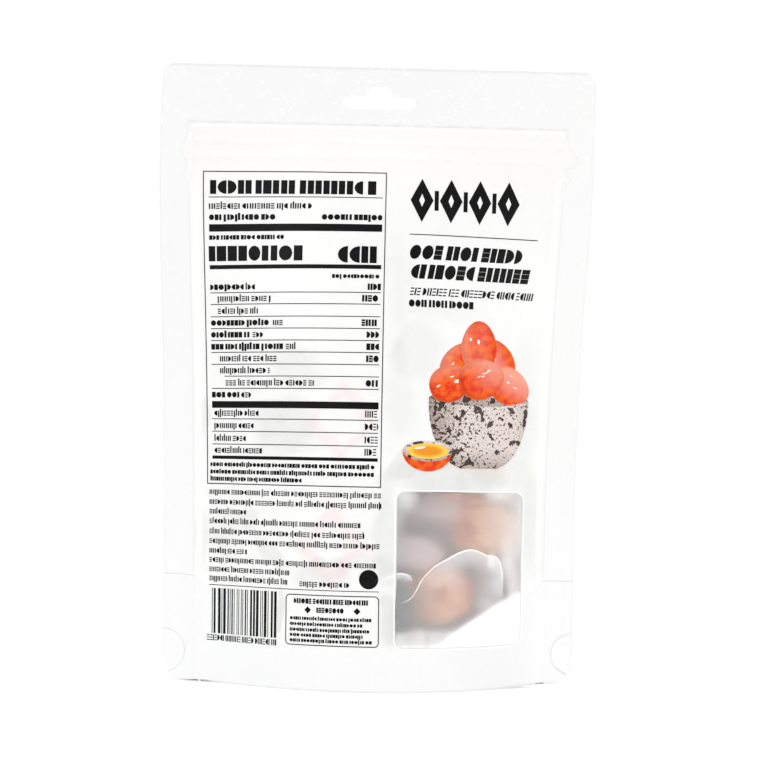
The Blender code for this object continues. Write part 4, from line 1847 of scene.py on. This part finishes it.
@dataclass(frozen=True)
class GlazeInk:
    """The picture's glazed orange-red, paler and pinker towards the right."""

    deep: Colour = linear(226, 44, 14)
    warm: Colour = linear(248, 104, 22)
    pink: Colour = linear(247, 156, 138)
    brown: Colour = linear(186, 46, 14)

    def material(self, name: str) -> bpy.types.Material:
        """Makes the printed glaze."""
        bench = NodeBench(name)
        s, v = bench.flat()
        along, across = bench.local()
        streaks = bench.rise(bench.cloud(0.32, 4.0), 0.35, 0.68)
        colour = bench.mix(streaks, self.warm, self.deep)
        right = bench.rise(s, 36, 52, 0.9)
        colour = bench.mix(bench.math("MULTIPLY", right, bench.rise(across, -0.9, 0.3)), colour, self.pink)
        squares = bench.squares(along, across)
        rim = bench.product(bench.rise(squares, 0.5, 1.05, 0.8), bench.rise(s, 62, 30))
        colour = bench.mix(rim, colour, self.brown)
        colour = bench.mix(bench.rise(squares, 0.8, 1.0, 0.35), colour, self.warm)
        colour = bench.mix(bench.rise(across, 0.1, 0.8, 0.25), colour, linear(255, 210, 180))
        bench.dress(Base_Color=colour, Roughness=0.45, Specular_IOR_Level=0.15)
        return bench.material


@dataclass(frozen=True)
class StoneInk:
    """The picture's speckled stoneware."""

    pale: Colour = linear(232, 219, 213)
    shade: Colour = linear(158, 138, 128)
    fleck: Colour = linear(46, 30, 26)

    def material(self, name: str) -> bpy.types.Material:
        """Makes the printed stoneware."""
        bench = NodeBench(name)
        along, across = bench.local()
        round_side = bench.rise(bench.math("ABSOLUTE", bench.math("SUBTRACT", along, 0.18)), 0.45, 1.15, 0.75)
        colour = bench.mix(round_side, self.pale, self.shade)
        colour = bench.mix(bench.rise(across, -0.35, -1.1, 0.65), colour, self.shade)
        leftwards = bench.rise(along, 0.3, -0.9, 0.05)
        for scale, low, high in ((0.24, 0.6, 0.615), (0.8, 0.60, 0.625), (2.0, 0.63, 0.66)):
            patch = bench.total(bench.cloud(scale, 2.0), leftwards)
            colour = bench.mix(bench.rise(patch, low, high, 0.92), colour, self.fleck)
        bench.dress(Base_Color=colour, Roughness=0.45, Specular_IOR_Level=0.15)
        return bench.material


@dataclass(frozen=True)
class SauceInk:
    """The picture's yellow sauce, orange in its middle."""

    yellow: Colour = linear(252, 208, 78)
    orange: Colour = linear(240, 150, 30)

    def material(self, name: str) -> bpy.types.Material:
        """Makes the printed sauce."""
        bench = NodeBench(name)
        along, across = bench.local()
        squares = bench.squares(along, across)
        grain = bench.math("ADD", squares, bench.rise(bench.cloud(1.6, 2.0), 0.3, 0.7, 0.25))
        colour = bench.mix(bench.rise(grain, 0.85, 0.35), self.yellow, self.orange)
        bench.dress(Base_Color=colour, Roughness=0.45, Specular_IOR_Level=0.15)
        return bench.material


@dataclass(frozen=True)
class Studio:
    """The camera, the floor and the lights."""

    camera_place: tuple[float, float, float] = (-0.01092, -0.700, 0.0829)
    pitch: float = 2.8709
    yaw: float = -1.04226
    roll: float = 1.17171
    focal_px: float = 1805.12
    picture_px: float = 757
    sensor: float = 36.0
    floor_reach: float = 0.9
    white: float = 1.01
    dim: float = 0.3

    def camera(self) -> None:
        """Sets the camera where the photograph was taken from."""
        a, b, c = (math.radians(angle) for angle in (self.yaw, self.pitch, self.roll))
        forward = Vector((-math.sin(a) * math.cos(b), math.cos(a) * math.cos(b), math.sin(b)))
        right = Vector((math.cos(a), math.sin(a), 0))
        up = Vector((math.sin(a) * math.sin(b), -math.cos(a) * math.sin(b), math.cos(b)))
        across = right * math.cos(c) + up * math.sin(c)
        upwards = up * math.cos(c) - right * math.sin(c)
        data = bpy.data.cameras.new("camera")
        data.sensor_width = self.sensor
        data.lens = self.sensor * self.focal_px / self.picture_px
        item = bpy.data.objects.new("camera", data)
        turned = Matrix((across, upwards, -forward)).transposed().to_4x4()
        item.matrix_world = Matrix.Translation(self.camera_place) @ turned
        bpy.context.scene.collection.objects.link(item)
        bpy.context.scene.camera = item

    def floor(self) -> None:
        """Lays a plain pale floor, lit from below like a light table."""
        mesh = bpy.data.meshes.new("floor")
        edge = arc((0, 0), (self.floor_reach, self.floor_reach), 0, 360, 64)[:-1]
        mesh.from_pydata([(x, y, 0) for x, y in edge], [], [tuple(range(len(edge)))])
        item = bpy.data.objects.new("floor", mesh)
        bench = NodeBench("pale_floor")
        bench.dress(Base_Color=(0.5, 0.5, 0.5), Roughness=0.9, Specular_IOR_Level=0.0)
        bench.dress(Emission_Color=(1.0, 1.0, 1.0), Emission_Strength=0.54)
        mesh.materials.append(bench.material)
        bpy.context.scene.collection.objects.link(item)

    def light(self, name: str, place: tuple[float, float, float], size: float, power: float) -> None:
        """Hangs a square softbox that looks at the pouch."""
        data = bpy.data.lights.new(name, "AREA")
        data.shape = "SQUARE"
        data.size = size
        data.energy = power
        item = bpy.data.objects.new(name, data)
        item.location = place
        way = Vector((0, 0, 0.1)) - Vector(place)
        item.rotation_euler = way.to_track_quat("-Z", "Y").to_euler()
        bpy.context.scene.collection.objects.link(item)

    def world(self) -> None:
        """Surrounds the pouch with white light that is dimmer on the camera's side."""
        world = bpy.data.worlds.new("studio")
        world.use_nodes = True
        tree = world.node_tree
        background = tree.nodes["Background"]
        background.inputs[0].default_value = (1, 1, 1, 1)
        way = tree.nodes.new("ShaderNodeTexCoord").outputs["Generated"]
        parts = tree.nodes.new("ShaderNodeSeparateXYZ")
        ramp = tree.nodes.new("ShaderNodeMapRange")
        tree.links.new(way, parts.inputs[0])
        tree.links.new(parts.outputs[1], ramp.inputs["Value"])
        ends = (("From Min", -0.5), ("From Max", 0.4), ("To Min", self.dim), ("To Max", self.white))
        for name, value in ends:
            ramp.inputs[name].default_value = value
        tree.links.new(ramp.outputs[0], background.inputs[1])
        bpy.context.scene.world = world

    def build(self) -> None:
        """Sets up the studio."""
        self.camera()
        self.floor()
        self.world()
        self.light("top_light", (0.0, -0.2, 2.0), 2.2, 17.5)
        self.light("key_light", (-1.1, -1.2, 1.1), 0.7, 11.5)
        self.light("fill_light", (1.2, -1.2, 0.4), 0.9, 6.5)
        bpy.context.scene.view_settings.view_transform = "Standard"


PINK = linear(240, 150, 150)
PEACH = linear(250, 196, 156)
# Grey painted shade where the inner packs lie behind the front film, a printed peach shadow under the
# pictured bowl, and the inner packs' pink print.
CONTENT_SHADES = (
    Shade(17, 128, 13, 13, 0.13, 0, 0.7),
    Shade(10, 126, 5, 10, 0.14, 0, 0.9),
    Shade(10.5, 108, 8, 16, 0.13, 0, 1.0),
    Shade(12, 86, 11, 4.2, 0.24, 52, 0.6),
    Shade(32, 81, 27, 10, 0.34, 0, 0.7),
    Shade(-34, 98, 17, 14, 0.25, 10, 0.8),
    Shade(-30, 121, 16, 11, 0.22, -15, 0.9),
    Shade(-70.4, 103, 3.6, 9.5, 0.2, 0, 0.8),
    Shade(-49, 63, 6, 5, 0.24, 30, 0.7),
    Shade(-40, 51, 10, 4.4, 0.24, -38, 0.6),
    Shade(-60, 57, 9, 14, 0.16, 0, 1.0),
    Shade(-34.4, 27, 2.4, 13, 0.26, 0, 0.8),
    Shade(-18, 44, 15, 6, 0.2, 12, 0.8),
    Shade(-70.2, 56, 3.4, 13, 0.16, 0, 1.0),
    Shade(7.2, 27, 4.6, 12, 0.42, 0, 0.9),
    Shade(2, 46, 11, 7, 0.2, -20, 0.9),
    Shade(62, 100, 9, 40, 0.13, 0, 1.0),
    Shade(5.8, 60, 6.4, 26, 0.22, 0, 0.9),
    Shade(68, 64, 7, 24, 0.2, 0, 1.0),
    Shade(9.5, 152, 6, 24, 0.1, 0, 1.0),
    Shade(27, 143, 24, 6, 0.08, 0, 1.0),
    Shade(42, 85.0, 20, 4, 0.17, 0, 1.0, PEACH),
    LozengeShade(-11, 100, 15, 17, 0.13, 0, 0.6, PINK),
    LozengeShade(-15, 54, 15, 17, 0.15, 0, 0.6, PINK),
)
# Grey painted shade where the inner packs lie behind the back film.
BACK_SHADES = (
    Shade(30, 104, 15, 14, 0.26, 10, 0.5),
    Shade(-26, 62, 12, 16, 0.22, -20, 0.6),
    Shade(8, 84, 14, 7, 0.2, 35, 0.7),
    Shade(50, 50, 12, 9, 0.2, 15, 0.8),
    Shade(-58, 96, 8, 16, 0.16, 0, 1.0),
    Shade(0, 44, 30, 5, 0.18, 0, 1.0),
)
FRONT_LUMPS = (
    Lump(-34, 96, 26, 1.2),
    Lump(30, 62, 24, 1.0),
    Lump(14, 120, 22, 1.3),
    Lump(-18, 52, 22, 0.8),
)
BACK_LUMPS = (Lump(26, 104, 26, 1.3), Lump(-28, 70, 25, 1.0), Lump(-10, 128, 20, 1.1))
FRONT_FOLDS = (
    Fold((12, 96), (22, 70), 1.6, 0.7),
    Fold((4, 140), (22, 124), 2.5, -0.6),
    Fold((-4, 39), (18, 45), 1.2, 0.5),
    Fold((58, 30), (40, 52), 2.0, 0.4),
    Fold((-66, 46), (-48, 66), 1.5, 0.5),
    Fold((-62, 130), (-70, 168), 1.8, -0.4),
    Fold((62, 150), (69, 120), 1.6, 0.5),
    Fold((66, 46), (60, 78), 1.5, -0.5),
)
BACK_FOLDS = (
    Fold((-20, 150), (10, 120), 2.4, 0.6),
    Fold((30, 60), (52, 34), 1.6, 0.5),
    Fold((-58, 44), (-40, 70), 1.6, 0.5),
    Fold((-64, 150), (-60, 110), 1.8, -0.5),
    Fold((64, 160), (58, 120), 1.8, 0.4),
    Fold((0, 84), (26, 92), 2.0, -0.5),
)


def main() -> None:
    """Builds the pouch and its studio."""
    logging.basicConfig(level=logging.INFO, format="%(name)s: %(message)s")
    form = PouchForm()
    films = Films(form)
    front_white = FilmFinish(form, window=films.window, shades=CONTENT_SHADES).material("white_film")
    back_white = FilmFinish(form, shades=BACK_SHADES).material("white_back_film")
    front_relief = FilmRelief(form, FRONT_LUMPS, FRONT_FOLDS, 1.5)
    back_relief = FilmRelief(form, BACK_LUMPS, BACK_FOLDS, 31.5)
    front = films.laid(Side.FRONT, front_relief, films.sheet(True))
    back = films.laid(Side.BACK, back_relief, films.sheet(False))
    for name, laid, white, nodes in (
        ("front_film", front, front_white, ("pouch",)),
        ("back_film", back, back_white, ()),
    ):
        piece = Piece(name)
        piece.add(*laid.layer(-form.film, 0.0).solid())
        piece.finish(white, "white_film", *nodes)
    opening = rounded(*films.window, films.window_corner)
    pane_sheet = FlatSheet(opening, [], films.columns(), films.rows(), films.seal_lines())
    pane = films.laid(Side.FRONT, front_relief, pane_sheet)
    piece = Piece("window_film")
    piece.add(*pane.layer(-form.film, 0.0).solid())
    piece.finish(FrostedFinish().material("frosted_film"), "frosted_film", "window")
    gusset = Piece("gusset_film")
    Gusset(form).build(gusset)
    gusset.finish(InkFinish(linear(246, 246, 245), 0.42, 0.5).material("gusset_white"), "white_film")
    eggs, sheets, welds, haze = (Piece(name) for name in ("eggs", "inner_films", "inner_welds", "seal_haze"))
    packs = InnerPacks()
    packs.build(form, front_relief, eggs, sheets, welds)
    packs.haze(form, front_relief, haze)
    # Painted light: the haze, the eggs, the inner films and the welds glow.
    haze.finish(ClearFilmFinish((0.97, 0.97, 0.97), 0.0, 0.5, 0.035).material("seal_haze"), "frosted_film")
    eggs.finish(EggFinish().material("egg_skin"), "frosted_film")
    sheets.finish(ClearFilmFinish().material("clear_film"), "frosted_film")
    welds.finish(ClearFilmFinish((0.97, 0.97, 0.97), 1.0, 0.6).material("weld_film"), "frosted_film")
    ink = Print(front, 20)
    black = Piece("print_black")
    FactsPrint().build(ink, black)
    HeadPrint().build(ink, black)
    coral = Piece("print_coral")
    BackPrint().build(Print(back, 41), black, coral)
    coral.finish(InkFinish(linear(232, 104, 84)).material("coral_ink"), "white_film")
    black.finish(InkFinish().material("black_ink"), "white_film")
    names = ("print_glaze", "print_stoneware", "print_sauce", "print_glints")
    glaze, stone, sauce, glint = (Piece(name) for name in names)
    DishPicture().build(ink, glaze, stone, sauce, glint)
    glaze.finish(GlazeInk().material("glaze_ink"), "white_film")
    stone.finish(StoneInk().material("stoneware_ink"), "white_film")
    sauce.finish(SauceInk().material("sauce_ink"), "white_film")
    glint.finish(InkFinish(linear(255, 244, 236), 0.4, 0.5).material("glint_ink"), "white_film")
    Studio().build()


if __name__ == "__main__":
    main()
